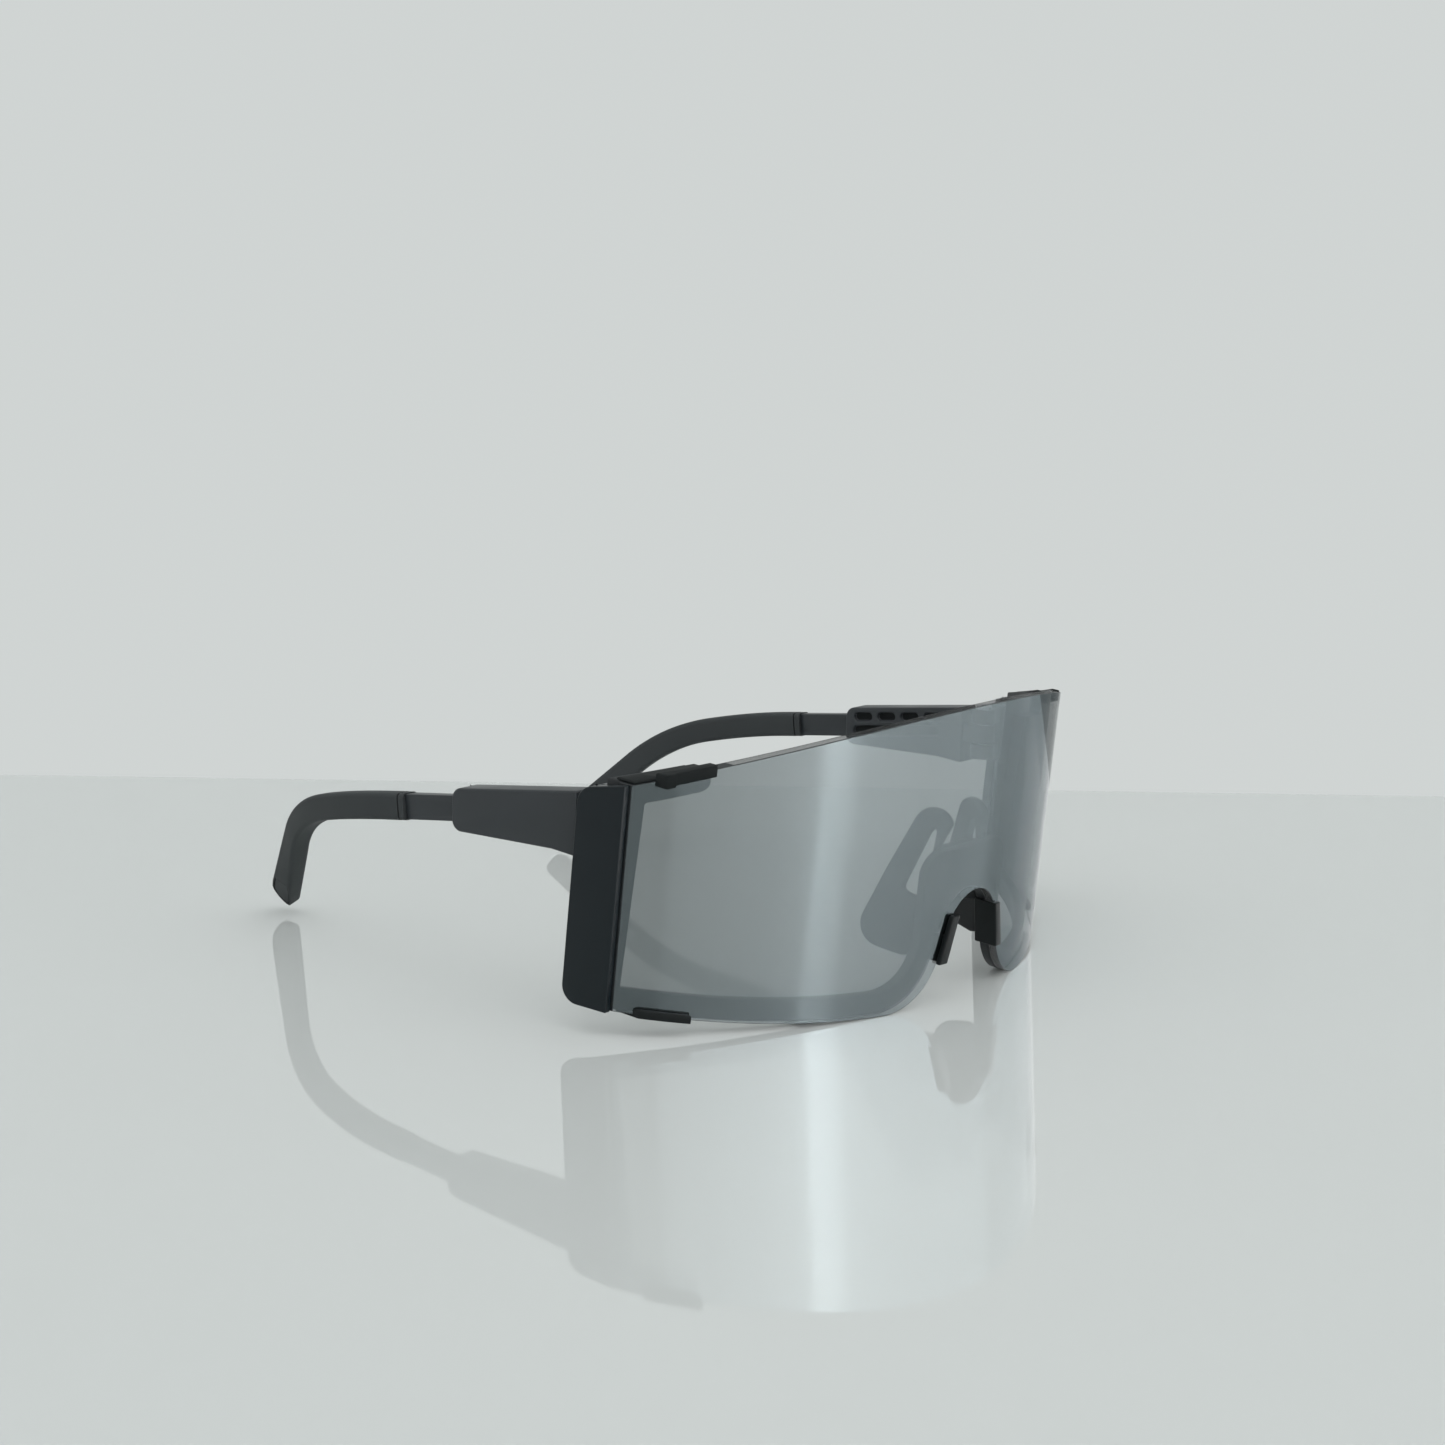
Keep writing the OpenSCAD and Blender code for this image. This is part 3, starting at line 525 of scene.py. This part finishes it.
def mirror_coat(base):
    """Half-silvered front of the lens, with a faint film that changes its gloss."""
    material, tree, shader = new_material("mirror_coat")
    shader.inputs["Metallic"].default_value = 1
    shader.inputs["Alpha"].default_value = MIRROR_COVER
    shader.inputs["Specular Tint"].default_value = (0.45, 0.47, 0.48, 1)
    film = add_noise(tree, 45, 4)
    vary_colour(tree, film, base, 0.02, shader.inputs["Base Color"])
    vary(tree, film, 0.035, 0.06, shader.inputs["Roughness"])
    return material


def smoke_tint(base):
    """Smoke-tinted inner face of the lens."""
    material, tree, shader = new_material("smoke_tint")
    film = add_noise(tree, 60, 3)
    vary_colour(tree, film, base, 0.1, shader.inputs["Base Color"])
    vary(tree, film, 0.05, 0.09, shader.inputs["Roughness"])
    shader.inputs["Alpha"].default_value = SMOKE_COVER
    return material


FINISHES = {}


def make_finishes():
    """Makes every material once."""
    tones = settings().colours
    FINISHES["mirror"] = mirror_coat(tones.mirror)
    FINISHES["smoke"] = smoke_tint(tones.smoke)
    FINISHES["rim"] = moulded("lens_rim", tones.rim, 0.3, strength=0.05, cover=RIM_COVER)
    FINISHES["edge"] = moulded("lens_edge", tones.rim, 0.4, strength=0.05)
    FINISHES["panel"] = moulded("panel_plastic", tones.panel, 0.34, specular=0.32)
    FINISHES["clip"] = moulded("clip_plastic", tones.clip, 0.42, specular=0.18)
    FINISHES["frame"] = moulded("frame_plastic", tones.frame, 0.5)
    FINISHES["arm"] = moulded("arm_plastic", tones.arm, 0.4)
    # Painted shade on the pocket floors: a darker colour in place of the shade in the recesses, and
    # also rougher and less glossy
    FINISHES["pocket"] = moulded("pocket_painted_shade", tones.pocket, 0.6, specular=0.1)
    FINISHES["rubber"] = moulded("tip_rubber", tones.rubber, 0.65, 5000, 0.3, specular=0.3)
    FINISHES["nose"] = moulded("nose_rubber", tones.nose, 0.6, 5000, 0.3, specular=0.3)
    FINISHES["bracket"] = metal("hinge_metal", tones.bracket, 0.4)
    FINISHES["steel"] = metal("bright_steel", tones.steel, 0.3)


# Places taken from the frame

def lens_matrix():
    """Frame of the leaning lens: X across, Y back from the lens, Z up from the brow line."""
    sizes = settings().lens
    low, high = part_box("lens")
    top = high.z - sizes.thickness * math.sin(sizes.tilt)
    return Matrix.Translation((0, low.y, top)) @ Matrix.Rotation(sizes.tilt, 4, "X")


def bar_matrix():
    """Frame of the left bar at its shoulder: X down, Y towards the head, Z to the rear."""
    rearward = Vector(JOINTS["left_length_slide"]["axis"]).normalized()
    headward = Vector((-1, 0, 0))
    downward = headward.cross(rearward)
    low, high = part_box("left_stop_pin")
    shoulder = (low + high) / 2 + rearward * settings().tips.stop_back
    shoulder.x = JOINTS["left_temple_fold"]["pos_m"][0]
    turn = Matrix((downward, headward, rearward)).transposed().to_4x4()
    return Matrix.Translation(shoulder) @ turn


class GLASSES_OT_lens(bpy.types.Operator):
    """Models the curved lens with its nose cut-out"""

    bl_idname = "glasses.lens"
    bl_label = "Lens"

    corner_steps = 20
    arch_steps = 12
    edge_steps = 6
    sweep_steps = 70
    rows = 24
    # Degrees over which an edge of the lens is shown sharp, and over which one is rounded
    smooth_limit = 15
    round_limit = 35
    # A face looks along a spoke of the lens above the first of these, and across it below the second
    along_spoke = 0.99
    across_spoke = 0.2

    def columns(self, sizes):
        """Half-width places of the columns, closer together where the outline turns."""
        quarter = math.pi / 2
        edge_x = sizes.corner_x - sizes.corner_radius
        arch_turn = math.asin(sizes.arch_half_width / sizes.arch_radius)
        arch = [sizes.arch_radius * math.sin(arch_turn * i / self.arch_steps)
                for i in range(self.arch_steps)]
        edge = [sizes.arch_half_width + (edge_x - sizes.arch_half_width) * i / self.edge_steps
                for i in range(self.edge_steps)]
        corner = [sizes.corner_x - sizes.corner_radius * math.cos(quarter * i / self.corner_steps)
                  for i in range(self.corner_steps)]
        span = sizes.half_width - sizes.corner_x
        sweep = [sizes.corner_x + span * i / self.sweep_steps for i in range(self.sweep_steps + 1)]
        half = arch + edge + corner + sweep
        return [-x for x in reversed(half[1:])] + half

    def top(self, sizes, x):
        """Fall of the brow line."""
        return math.sqrt(sizes.brow_radius ** 2 - x * x) - sizes.brow_radius

    def bottom(self, sizes, x):
        """Depth of the lower outline, with the nose cut-out."""
        x = abs(x)
        corner_depth = sizes.height - sizes.corner_radius
        arch_depth = sizes.height - sizes.arch_rise
        gap_depth = sizes.height - sizes.gap_rise
        arch_foot = arch_depth + sizes.arch_radius - math.sqrt(
            sizes.arch_radius ** 2 - sizes.arch_half_width ** 2)
        if x < sizes.arch_half_width:
            return -arch_depth - sizes.arch_radius + math.sqrt(sizes.arch_radius ** 2 - x * x)
        if x < sizes.corner_x - sizes.corner_radius:
            slope = (gap_depth - arch_foot) / (sizes.gap_half_width - sizes.arch_half_width)
            return -min(corner_depth, arch_foot + slope * (x - sizes.arch_half_width))
        if x < sizes.corner_x:
            return -corner_depth - math.sqrt(sizes.corner_radius ** 2 - (sizes.corner_x - x) ** 2)
        rise = sizes.sweep_radius - math.sqrt(sizes.sweep_radius ** 2 - (x - sizes.corner_x) ** 2)
        return rise - sizes.height

    def back(self, radius, face_radius, x):
        """How far a face of the lens lies behind the lens front."""
        return radius - math.sqrt(face_radius ** 2 - x * x)

    def execute(self, context):
        sizes = settings().lens
        columns = self.columns(sizes)
        bpy.ops.object.select_all(action="DESELECT")
        bpy.ops.mesh.primitive_grid_add(
            x_subdivisions=len(columns) - 1, y_subdivisions=self.rows, size=1)
        lens = name_new("lens_shield")
        place = lens_matrix()
        for number, vertex in enumerate(lens.data.vertices):
            row, column = divmod(number, len(columns))
            x = columns[column]
            low = self.bottom(sizes, x)
            up = low + (self.top(sizes, x) - low) * row / self.rows
            vertex.co = place @ Vector((x, self.back(sizes.radius, sizes.radius, x), up))
        outward(lens)
        edit(lens)
        if lens.data.polygons[0].normal.y > 0:
            bpy.ops.mesh.flip_normals()
        done()
        front = [vertex.co.copy() for vertex in lens.data.vertices]
        modify(lens, "SOLIDIFY", thickness=sizes.thickness, offset=-1)
        for corner, vertex in zip(front, lens.data.vertices[len(front):]):
            local = place.inverted() @ corner
            local.y = self.back(sizes.radius, sizes.radius - sizes.thickness, local.x)
            vertex.co = place @ local
        round_edges(lens, sizes.rim_edge, 2, self.round_limit)
        smooth(lens, self.smooth_limit)
        finish(lens, "lens", FINISHES["mirror"])
        for name in ("smoke", "rim", "edge"):
            lens.data.materials.append(FINISHES[name])
        axis = place @ Vector((0, sizes.radius, 0))
        along = place.to_3x3() @ Vector((0, 0, 1))
        for face in lens.data.polygons:
            spoke = face.center - axis
            spoke -= along * spoke.dot(along)
            facing = face.normal.dot(spoke.normalized())
            if abs(facing) > self.along_spoke:
                face.material_index = 0 if facing > 0 else 1
            else:
                face.material_index = 2 if abs(facing) < self.across_spoke else 3
        return {"FINISHED"}


class GLASSES_OT_front(bpy.types.Operator):
    """Finishes the half frame, the side panels and the clips"""

    bl_idname = "glasses.front"
    bl_label = "Front"

    def execute(self, context):
        edges = settings().edges
        finished_copies(["front_frame"], edges.frame, FINISHES["frame"])
        finished_copies(both("side_panel"), edges.panel, FINISHES["panel"], 4)
        clips = both("brow_clip") + both("lower_clip") + both("nose_clip")
        finished_copies(clips, edges.clip, FINISHES["clip"])
        return {"FINISHED"}


class GLASSES_OT_hinges(bpy.types.Operator):
    """Finishes the hinge brackets and pins"""

    bl_idname = "glasses.hinges"
    bl_label = "Hinges"

    def execute(self, context):
        edges = settings().edges
        finished_copies(both("hinge_bracket"), edges.metal, FINISHES["bracket"], 2)
        finished_copies(both("hinge_pin"), edges.metal, FINISHES["steel"], 2)
        return {"FINISHED"}


class GLASSES_OT_arms(bpy.types.Operator):
    """Finishes the arms, the sliding bars and their small parts"""

    bl_idname = "glasses.arms"
    bl_label = "Arms"

    # A pocket's floor, which gets painted shade, looks inwards by at least this much, and lies at its
    # depth but for the slack
    floor_facing = 0.95
    depth_slack = 0.1 * MM

    def paint_pocket_shade(self, arm, edges):
        """Paints shade on the floors of the pockets on the inner side: a darker finish in place of the
        shade in the recesses.
        """
        inward = -math.copysign(1, arm.data.vertices[0].co.x)
        faces = [face for face in arm.data.polygons if face.normal.x * inward > self.floor_facing]
        level = max(faces, key=lambda face: face.area).center.x
        arm.data.materials.append(FINISHES["pocket"])
        for face in faces:
            depth = (level - face.center.x) * inward
            if abs(depth - edges.pocket) < self.depth_slack:
                face.material_index = 1

    def execute(self, context):
        edges = settings().edges
        housings = finished_copies(
            both("arm_housing"), edges.arm, FINISHES["arm"], 4)
        for arm in housings:
            self.paint_pocket_shade(arm, edges)
        finished_copies(both("sliding_bar"), edges.bar, FINISHES["arm"])
        finished_copies(both("tip_collar"), edges.collar, FINISHES["rubber"], 2)
        for node in both("stop_pin") + both("tip_wire"):
            NODES[node].data.materials.clear()
            NODES[node].data.materials.append(FINISHES["steel"])
        return {"FINISHED"}


class GLASSES_OT_tips(bpy.types.Operator):
    """Models the soft hooked tips"""

    bl_idname = "glasses.tips"
    bl_label = "Tips"

    rounding_steps = 5
    turn_steps = 14
    tail_steps = 6
    cap_steps = 6
    # Share of each step that the end is drawn in by, so that it doesn't close to a line
    cap_share = 0.98
    # Distance below which corners of the facet are one, and how much its face looks along the normal
    facet_merge = 0.15 * MM
    facet_facing = 0.99
    # Widths and depths of the insets that make the groove, in millimetres
    groove = ((0.3, 0), (0.06, -0.4), (0.26, 0), (0.06, 0.3))

    def spin(self, place, radius, turn, roll):
        """Spins the selected loop about an axis beside the bar, and returns the place after it."""
        centre = place @ Vector((radius * math.cos(roll), radius * math.sin(roll), 0))
        axis = place.to_3x3() @ Vector((-math.sin(roll), math.cos(roll), 0))
        bpy.ops.mesh.spin(steps=self.turn_steps, angle=-turn, center=centre, axis=axis)
        return (Matrix.Translation(centre) @ Matrix.Rotation(turn, 4, axis)
                @ Matrix.Translation(-centre) @ place)

    def extrude(self, place, distance, growth=1, twist=0):
        """Extrudes the selected loop, lets it grow and twist, and returns the place after it."""
        step = place.to_3x3() @ Vector((0, 0, distance))
        bpy.ops.mesh.extrude_edges_move(TRANSFORM_OT_translate={"value": step})
        before = Matrix.Translation(step) @ place
        place = before @ Matrix.Rotation(twist, 4, "Z")
        stretch = place @ Matrix.Diagonal((growth, 1, 1, 1)) @ before.inverted()
        done()
        mesh = bpy.context.active_object.data
        for vertex in mesh.vertices:
            if vertex.select:
                vertex.co = stretch @ vertex.co
        bpy.ops.object.mode_set(mode="EDIT")
        return place

    def execute(self, context):
        sizes = settings().tips
        place = bar_matrix() @ Matrix.Translation((0, 0, sizes.start))
        bpy.ops.object.select_all(action="DESELECT")
        bpy.ops.mesh.primitive_plane_add(size=1)
        tip = name_new("left_tip_grip")
        tip.matrix_world = place @ Matrix.Diagonal((sizes.height, sizes.thickness, 1, 1))
        apply_place(tip)
        edit(tip)
        bpy.ops.mesh.bevel(offset=sizes.rounding, segments=self.rounding_steps, affect="VERTICES",
                           offset_type="OFFSET")
        bpy.ops.mesh.select_all(action="SELECT")
        bpy.ops.mesh.delete(type="ONLY_FACE")
        bpy.ops.mesh.select_all(action="SELECT")
        place = self.extrude(place, sizes.socket)
        place = self.spin(place, sizes.set_radius, sizes.set_angle, sizes.set_roll)
        place = self.extrude(place, sizes.mid_length)
        place = self.spin(place, sizes.hook_radius, sizes.hook_angle, sizes.hook_roll)
        cap = sizes.end_length
        growth = (1 + sizes.tail_spread) ** (1 / self.tail_steps)
        for step in range(self.tail_steps):
            place = self.extrude(place, (sizes.tail_length - cap) / self.tail_steps, growth,
                                 sizes.tail_roll / self.tail_steps)
        self.round_end(place, cap)
        bpy.ops.mesh.select_all(action="SELECT")
        bpy.ops.mesh.fill_holes(sides=0)
        done()
        outward(tip)
        self.cut_facet(tip, place @ Matrix.Translation((0, 0, cap)), sizes)
        smooth(tip)
        twin = mirror_copy(tip, "right_tip_grip")
        smooth(twin)
        for piece, side in ((tip, "left"), (twin, "right")):
            finish(piece, side + "_tip_sleeve", FINISHES["rubber"])
        return {"FINISHED"}

    def round_end(self, place, cap):
        """Closes the end of the tip in a half round."""
        quarter = math.pi / 2
        for step in range(self.cap_steps):
            before = quarter * step / self.cap_steps
            after = quarter * (step + self.cap_share) / self.cap_steps
            rise = cap * (math.sin(after) - math.sin(before))
            place = self.extrude(place, rise, math.cos(after) / math.cos(before))

    def cut_facet(self, tip, end, sizes):
        """Cuts the slanted facet at the end and lets a groove run round it."""
        slope = sizes.facet_angle
        turn = sizes.facet_turn
        normal = end.to_3x3() @ Vector((
            -math.cos(slope) * math.cos(turn), -math.cos(slope) * math.sin(turn), math.sin(slope)))
        point = end.translation + normal * sizes.facet_out
        edit(tip)
        bpy.ops.mesh.bisect(plane_co=point, plane_no=normal, use_fill=True, clear_outer=True)
        bpy.ops.mesh.remove_doubles(threshold=self.facet_merge)
        bpy.ops.mesh.select_all(action="DESELECT")
        bpy.ops.mesh.select_mode(type="FACE")
        done()
        flush = [face for face in tip.data.polygons if face.normal.dot(normal) > self.facet_facing]
        facet = max(flush, key=lambda face: face.area)
        facet.select = True
        bpy.ops.object.mode_set(mode="EDIT")
        for width, depth in self.groove:
            bpy.ops.mesh.inset(thickness=width * MM, depth=depth * MM, use_even_offset=False)
        done()


class GLASSES_OT_nose(bpy.types.Operator):
    """Models the soft nose saddle and its two wings"""

    bl_idname = "glasses.nose"
    bl_label = "Nose piece"

    around = 96
    across = 20
    squareness = 0.5
    # Degrees over which an edge of a wing is shown sharp
    wing_limit = 60
    # Directions that a band is tried in, and how much one of them has to lean the way that is asked for
    band_steps = 180
    least_lean = 0.01
    # Millimetres in the plane of a wing, back and up from its root, and then the radius of a circle
    middle = Vector((-1.4, 1.5))
    outline = ((-2.2, 10.6, 4.05), (3.5, -9.6, 4.5), (-1.3, -12.2, 2.3))
    window = ((-2.6, 10.1, 0.5), (-0.55, -1.1, 1.25), (-2.9, -2.4, 0.4))
    # Millimetres from a wing's root forward to the frame, and up to where the frame ends
    frame_front = 4.2
    frame_top = 7.2

    def reach(self, circles, way):
        """Distance from the middle to the edge of the band that is stretched round some circles."""
        least = math.inf
        for step in range(self.band_steps):
            turn = math.radians(360 * step / self.band_steps)
            normal = Vector((math.cos(turn), math.sin(turn)))
            lean = way.dot(normal)
            if lean > self.least_lean:
                edge = max((Vector((back, up)) - self.middle).dot(normal) + radius
                           for back, up, radius in circles)
                least = min(least, edge / lean)
        return least

    def limits(self, way):
        """Distances from the middle to the window and to the outline, short of the frame."""
        inner = self.reach(self.window, way)
        outer = self.reach(self.outline, way)
        if way.x < 0:
            front = (self.frame_front + self.middle.x) / -way.x
            if self.middle.y + way.y * front < self.frame_top:
                outer = min(outer, front)
        return inner, outer

    def rounded(self, value):
        """Draws a sine or cosine out towards a square."""
        return math.copysign(abs(value) ** self.squareness, value)

    def draw_in(self, saddle, sizes):
        """Makes the rear of the saddle narrower and brings it closer to the frame."""
        place = lens_matrix()
        inside = place.inverted()
        lens = settings().lens
        radius = lens.radius - lens.thickness - sizes.saddle_front
        for vertex in saddle.data.vertices:
            spot = inside @ vertex.co
            front = lens.radius - math.sqrt(radius ** 2 - spot.x ** 2)
            back = max(0, spot.y - front)
            spot.x *= 1 - sizes.saddle_taper * back / sizes.saddle_reach
            spot.y = front + back * sizes.saddle_share
            vertex.co = place @ spot

    def wing(self, sizes):
        """The left wing: a band between its window and its outline, with soft edges."""
        bpy.ops.object.select_all(action="DESELECT")
        bpy.ops.mesh.primitive_torus_add(major_segments=self.around, minor_segments=self.across)
        wing = name_new("left_nose_pad")
        root = Matrix.Translation((sizes.root_x, sizes.root_back, -sizes.root_drop))
        lean = Matrix.Rotation(-sizes.flare, 4, "Y") @ Matrix.Rotation(-sizes.splay, 4, "Z")
        place = lens_matrix() @ root @ lean
        turns = [2 * math.pi * ring / self.around for ring in range(self.around)]
        ways = [Vector((math.cos(turn), math.sin(turn))) for turn in turns]
        limits = [self.limits(way) for way in ways]
        for number, vertex in enumerate(wing.data.vertices):
            ring, step = divmod(number, self.across)
            way = ways[ring]
            inner, outer = limits[ring]
            side = 2 * math.pi * step / self.across
            distance = (inner + outer) / 2 + (outer - inner) / 2 * self.rounded(math.cos(side))
            spot = self.middle + way * distance
            level = sizes.thickness / 2 * self.rounded(math.sin(side))
            vertex.co = place @ Vector((level, spot.x * MM, spot.y * MM))
        outward(wing)
        smooth(wing, self.wing_limit)
        return wing

    def execute(self, context):
        saddle = copy_node("nose_saddle", "nose_bridge_pad")
        self.draw_in(saddle, settings().wings)
        round_edges(saddle, settings().edges.saddle, 4)
        smooth(saddle)
        finish(saddle, "nose_saddle", FINISHES["nose"])
        left = self.wing(settings().wings)
        right = mirror_copy(left, "right_nose_pad")
        smooth(right, self.wing_limit)
        finish(left, "left_nose_wing", FINISHES["nose"])
        finish(right, "right_nose_wing", FINISHES["nose"])
        return {"FINISHED"}


class GLASSES_OT_stage(bpy.types.Operator):
    """Sets the pale floor and backdrop, the soft lights and the camera"""

    bl_idname = "glasses.stage"
    bl_label = "Stage"

    eye = Vector((-0.44542, -0.34728, 0.14430))
    ahead = Vector((0.78464, 0.59519, -0.17349))
    upward = Vector((0.12117, 0.12721, 0.98445))
    sensor_width = 36
    floor_size = 8
    wall_size = 6
    wall_place = (0.13, 0.09, 0)
    wall_turn = math.radians(-49)
    lamp_place = Vector((-0.2, -0.3, 1.5))
    lamp_size = 1.4
    # Ray Depth over which a ray has been mirrored twice; the world counts one step more than a wall
    wall_depth = 1.5
    world_depth = 2.5
    # Degrees from straight ahead of the lens, and level of the window there
    window_levels = (
        (-41, 0), (-38, 0.13), (-31, 0.2), (-16, 0.33), (-5, 0.48), (-2, 0.6), (2, 1.08), (6, 1.0),
        (13, 0.58), (22, 0.5), (36, 0.43), (62, 0.42), (67, 0.27), (80, 0.33), (100, 0.38), (130, 0))

    def camera(self):
        """Looks from the photograph's angle."""
        data = bpy.data.cameras.new("camera")
        data.lens = settings().stage.lens
        data.sensor_width = self.sensor_width
        camera = bpy.data.objects.new("camera", data)
        bpy.context.scene.collection.objects.link(camera)
        sideways = self.ahead.cross(self.upward).normalized()
        turn = Matrix((sideways, self.upward, -self.ahead)).transposed().to_4x4()
        camera.matrix_world = Matrix.Translation(self.eye) @ turn
        bpy.context.scene.camera = camera

    def lamp(self):
        """A soft square light overhead that looks at the middle of the floor."""
        data = bpy.data.lights.new("overhead", "AREA")
        data.energy = settings().stage.key
        data.shape = "SQUARE"
        data.size = self.lamp_size
        lamp = bpy.data.objects.new("overhead", data)
        bpy.context.scene.collection.objects.link(lamp)
        lamp.location = self.lamp_place
        lamp.rotation_euler = (-self.lamp_place).to_track_quat("-Z", "Y").to_euler()

    def plane(self, name, size, place):
        """A flat stage piece."""
        bpy.ops.object.select_all(action="DESELECT")
        bpy.ops.mesh.primitive_plane_add(size=size)
        sheet = name_new(name)
        sheet.matrix_world = place
        return sheet

    def floor_material(self):
        """Glossy pale table top."""
        material, tree, shader = new_material("floor_gloss")
        cloud = add_noise(tree, 3)
        vary_colour(tree, cloud, settings().colours.floor, 0.01, shader.inputs["Base Color"])
        shader.inputs["Roughness"].default_value = 0.03
        shader.inputs["IOR"].default_value = 1.5
        return material

    def wall_material(self):
        """Pale wall: even to the eye and in first reflections, plain under light, clear from behind."""
        material, tree, shader = new_material("backdrop")
        tone = list(settings().colours.wall) + [1]
        shader.inputs["Base Color"].default_value = tone
        shader.inputs["Roughness"].default_value = 0.9
        seen = tree.nodes.new("ShaderNodeEmission")
        seen.inputs["Color"].default_value = tone
        path = tree.nodes.new("ShaderNodeLightPath")
        watched = path.outputs["Is Camera Ray"]
        for ray in ("Is Glossy Ray", "Is Transmission Ray"):
            watched = add_math(tree, "MAXIMUM", watched, path.outputs[ray])
        shown = self.mix(tree, watched, shader.outputs["BSDF"], seen.outputs["Emission"])
        behind = tree.nodes.new("ShaderNodeNewGeometry")
        mirrored = self.second_mirror(tree, path, self.wall_depth)
        unseen = add_math(tree, "MAXIMUM", behind.outputs["Backfacing"], mirrored)
        clear = tree.nodes.new("ShaderNodeBsdfTransparent")
        surface = self.mix(tree, unseen, shown, clear.outputs["BSDF"])
        tree.links.new(surface, tree.nodes["Material Output"].inputs["Surface"])
        return material

    def mix(self, tree, share_socket, first, second):
        """Mixes two shaders and returns the mix."""
        node = tree.nodes.new("ShaderNodeMixShader")
        tree.links.new(share_socket, node.inputs["Fac"])
        tree.links.new(first, node.inputs[1])
        tree.links.new(second, node.inputs[2])
        return node.outputs["Shader"]

    def second_mirror(self, tree, path, depth):
        """One for rays that have been mirrored at least twice."""
        second = add_math(tree, "GREATER_THAN", path.outputs["Ray Depth"], depth)
        return add_math(tree, "MULTIPLY", path.outputs["Is Glossy Ray"], second)

    def world(self):
        """Pale light from all round, brighter overhead, and a window for second reflections."""
        stage = settings().stage
        world = bpy.data.worlds.new("studio")
        bpy.context.scene.world = world
        world.use_nodes = True
        tree = world.node_tree
        shade = tree.nodes["Background"]
        shade.inputs["Color"].default_value = list(settings().colours.sky) + [1]
        place = tree.nodes.new("ShaderNodeTexCoord")
        split = tree.nodes.new("ShaderNodeSeparateXYZ")
        tree.links.new(place.outputs["Generated"], split.inputs["Vector"])
        height = tree.nodes.new("ShaderNodeMapRange")
        height.inputs["To Min"].default_value = stage.horizon
        height.inputs["To Max"].default_value = stage.zenith
        tree.links.new(split.outputs["Z"], height.inputs["Value"])
        forward = add_math(tree, "MULTIPLY", split.outputs["Y"], -1)
        turn = add_math(tree, "ARCTAN2", split.outputs["X"], forward)
        whole = tree.nodes.new("ShaderNodeMapRange")
        whole.inputs["From Min"].default_value = -math.pi
        whole.inputs["From Max"].default_value = math.pi
        tree.links.new(turn, whole.inputs["Value"])
        window = tree.nodes.new("ShaderNodeValToRGB")
        window.color_ramp.interpolation = "EASE"
        marks = window.color_ramp.elements
        marks[1].color = (0, 0, 0, 1)
        for degrees, level in self.window_levels:
            mark = marks.new(degrees / 360 + 0.5)
            mark.color = (level, level, level, 1)
        tree.links.new(whole.outputs["Result"], window.inputs["Fac"])
        path = tree.nodes.new("ShaderNodeLightPath")
        mirrored = self.second_mirror(tree, path, self.world_depth)
        shown = add_math(tree, "MULTIPLY", window.outputs["Color"], mirrored)
        band = add_math(tree, "MULTIPLY", shown, stage.window)
        total = add_math(tree, "ADD", height.outputs["Result"], band)
        tree.links.new(total, shade.inputs["Strength"])

    def execute(self, context):
        self.camera()
        floor = self.plane("floor", self.floor_size, Matrix.Identity(4))
        floor.data.materials.append(self.floor_material())
        upright = Matrix.Rotation(math.radians(90), 4, "X")
        heading = Matrix.Rotation(self.wall_turn, 4, "Z")
        stand = Matrix.Translation(self.wall_place) @ heading @ upright
        wall = self.plane("backdrop", self.wall_size, stand)
        wall.data.materials.append(self.wall_material())
        self.world()
        self.lamp()
        bpy.context.scene.view_settings.view_transform = "Standard"
        return {"FINISHED"}


class GLASSES_PT_panel(bpy.types.Panel):
    """Lists the pieces and their sizes"""

    bl_idname = "GLASSES_PT_panel"
    bl_label = "Shield glasses"
    bl_space_type = "VIEW_3D"
    bl_region_type = "UI"
    bl_category = "Glasses"

    def draw(self, context):
        layout = self.layout
        for operator in OPERATORS:
            layout.operator(operator.bl_idname)
        for group in ("lens", "tips", "wings", "edges", "colours", "stage"):
            box = layout.box()
            box.label(text=group.capitalize())
            values = getattr(settings(), group)
            for name in values.bl_rna.properties.keys():
                if name not in ("rna_type", "name"):
                    box.prop(values, name)


OPERATORS = (GLASSES_OT_stage, GLASSES_OT_lens, GLASSES_OT_front, GLASSES_OT_hinges,
             GLASSES_OT_arms, GLASSES_OT_tips, GLASSES_OT_nose)
GROUPS = (GlassesLensSizes, GlassesTipSizes, GlassesWingSizes, GlassesEdges, GlassesColours,
          GlassesStageSizes, GlassesSettings)


def register():
    """Registers the settings, the operators and the panel."""
    for part in GROUPS + OPERATORS + (GLASSES_PT_panel,):
        bpy.utils.register_class(part)
    bpy.types.Scene.glasses = bpy.props.PointerProperty(type=GlassesSettings)


def unregister():
    """Removes what register added."""
    del bpy.types.Scene.glasses
    for part in reversed(GROUPS + OPERATORS + (GLASSES_PT_panel,)):
        bpy.utils.unregister_class(part)


def main():
    """Builds the stage and all pieces in order."""
    register()
    make_finishes()
    bpy.ops.glasses.stage()
    bpy.ops.glasses.lens()
    bpy.ops.glasses.front()
    bpy.ops.glasses.hinges()
    bpy.ops.glasses.arms()
    bpy.ops.glasses.tips()
    bpy.ops.glasses.nose()


if __name__ == "__main__":
    main()
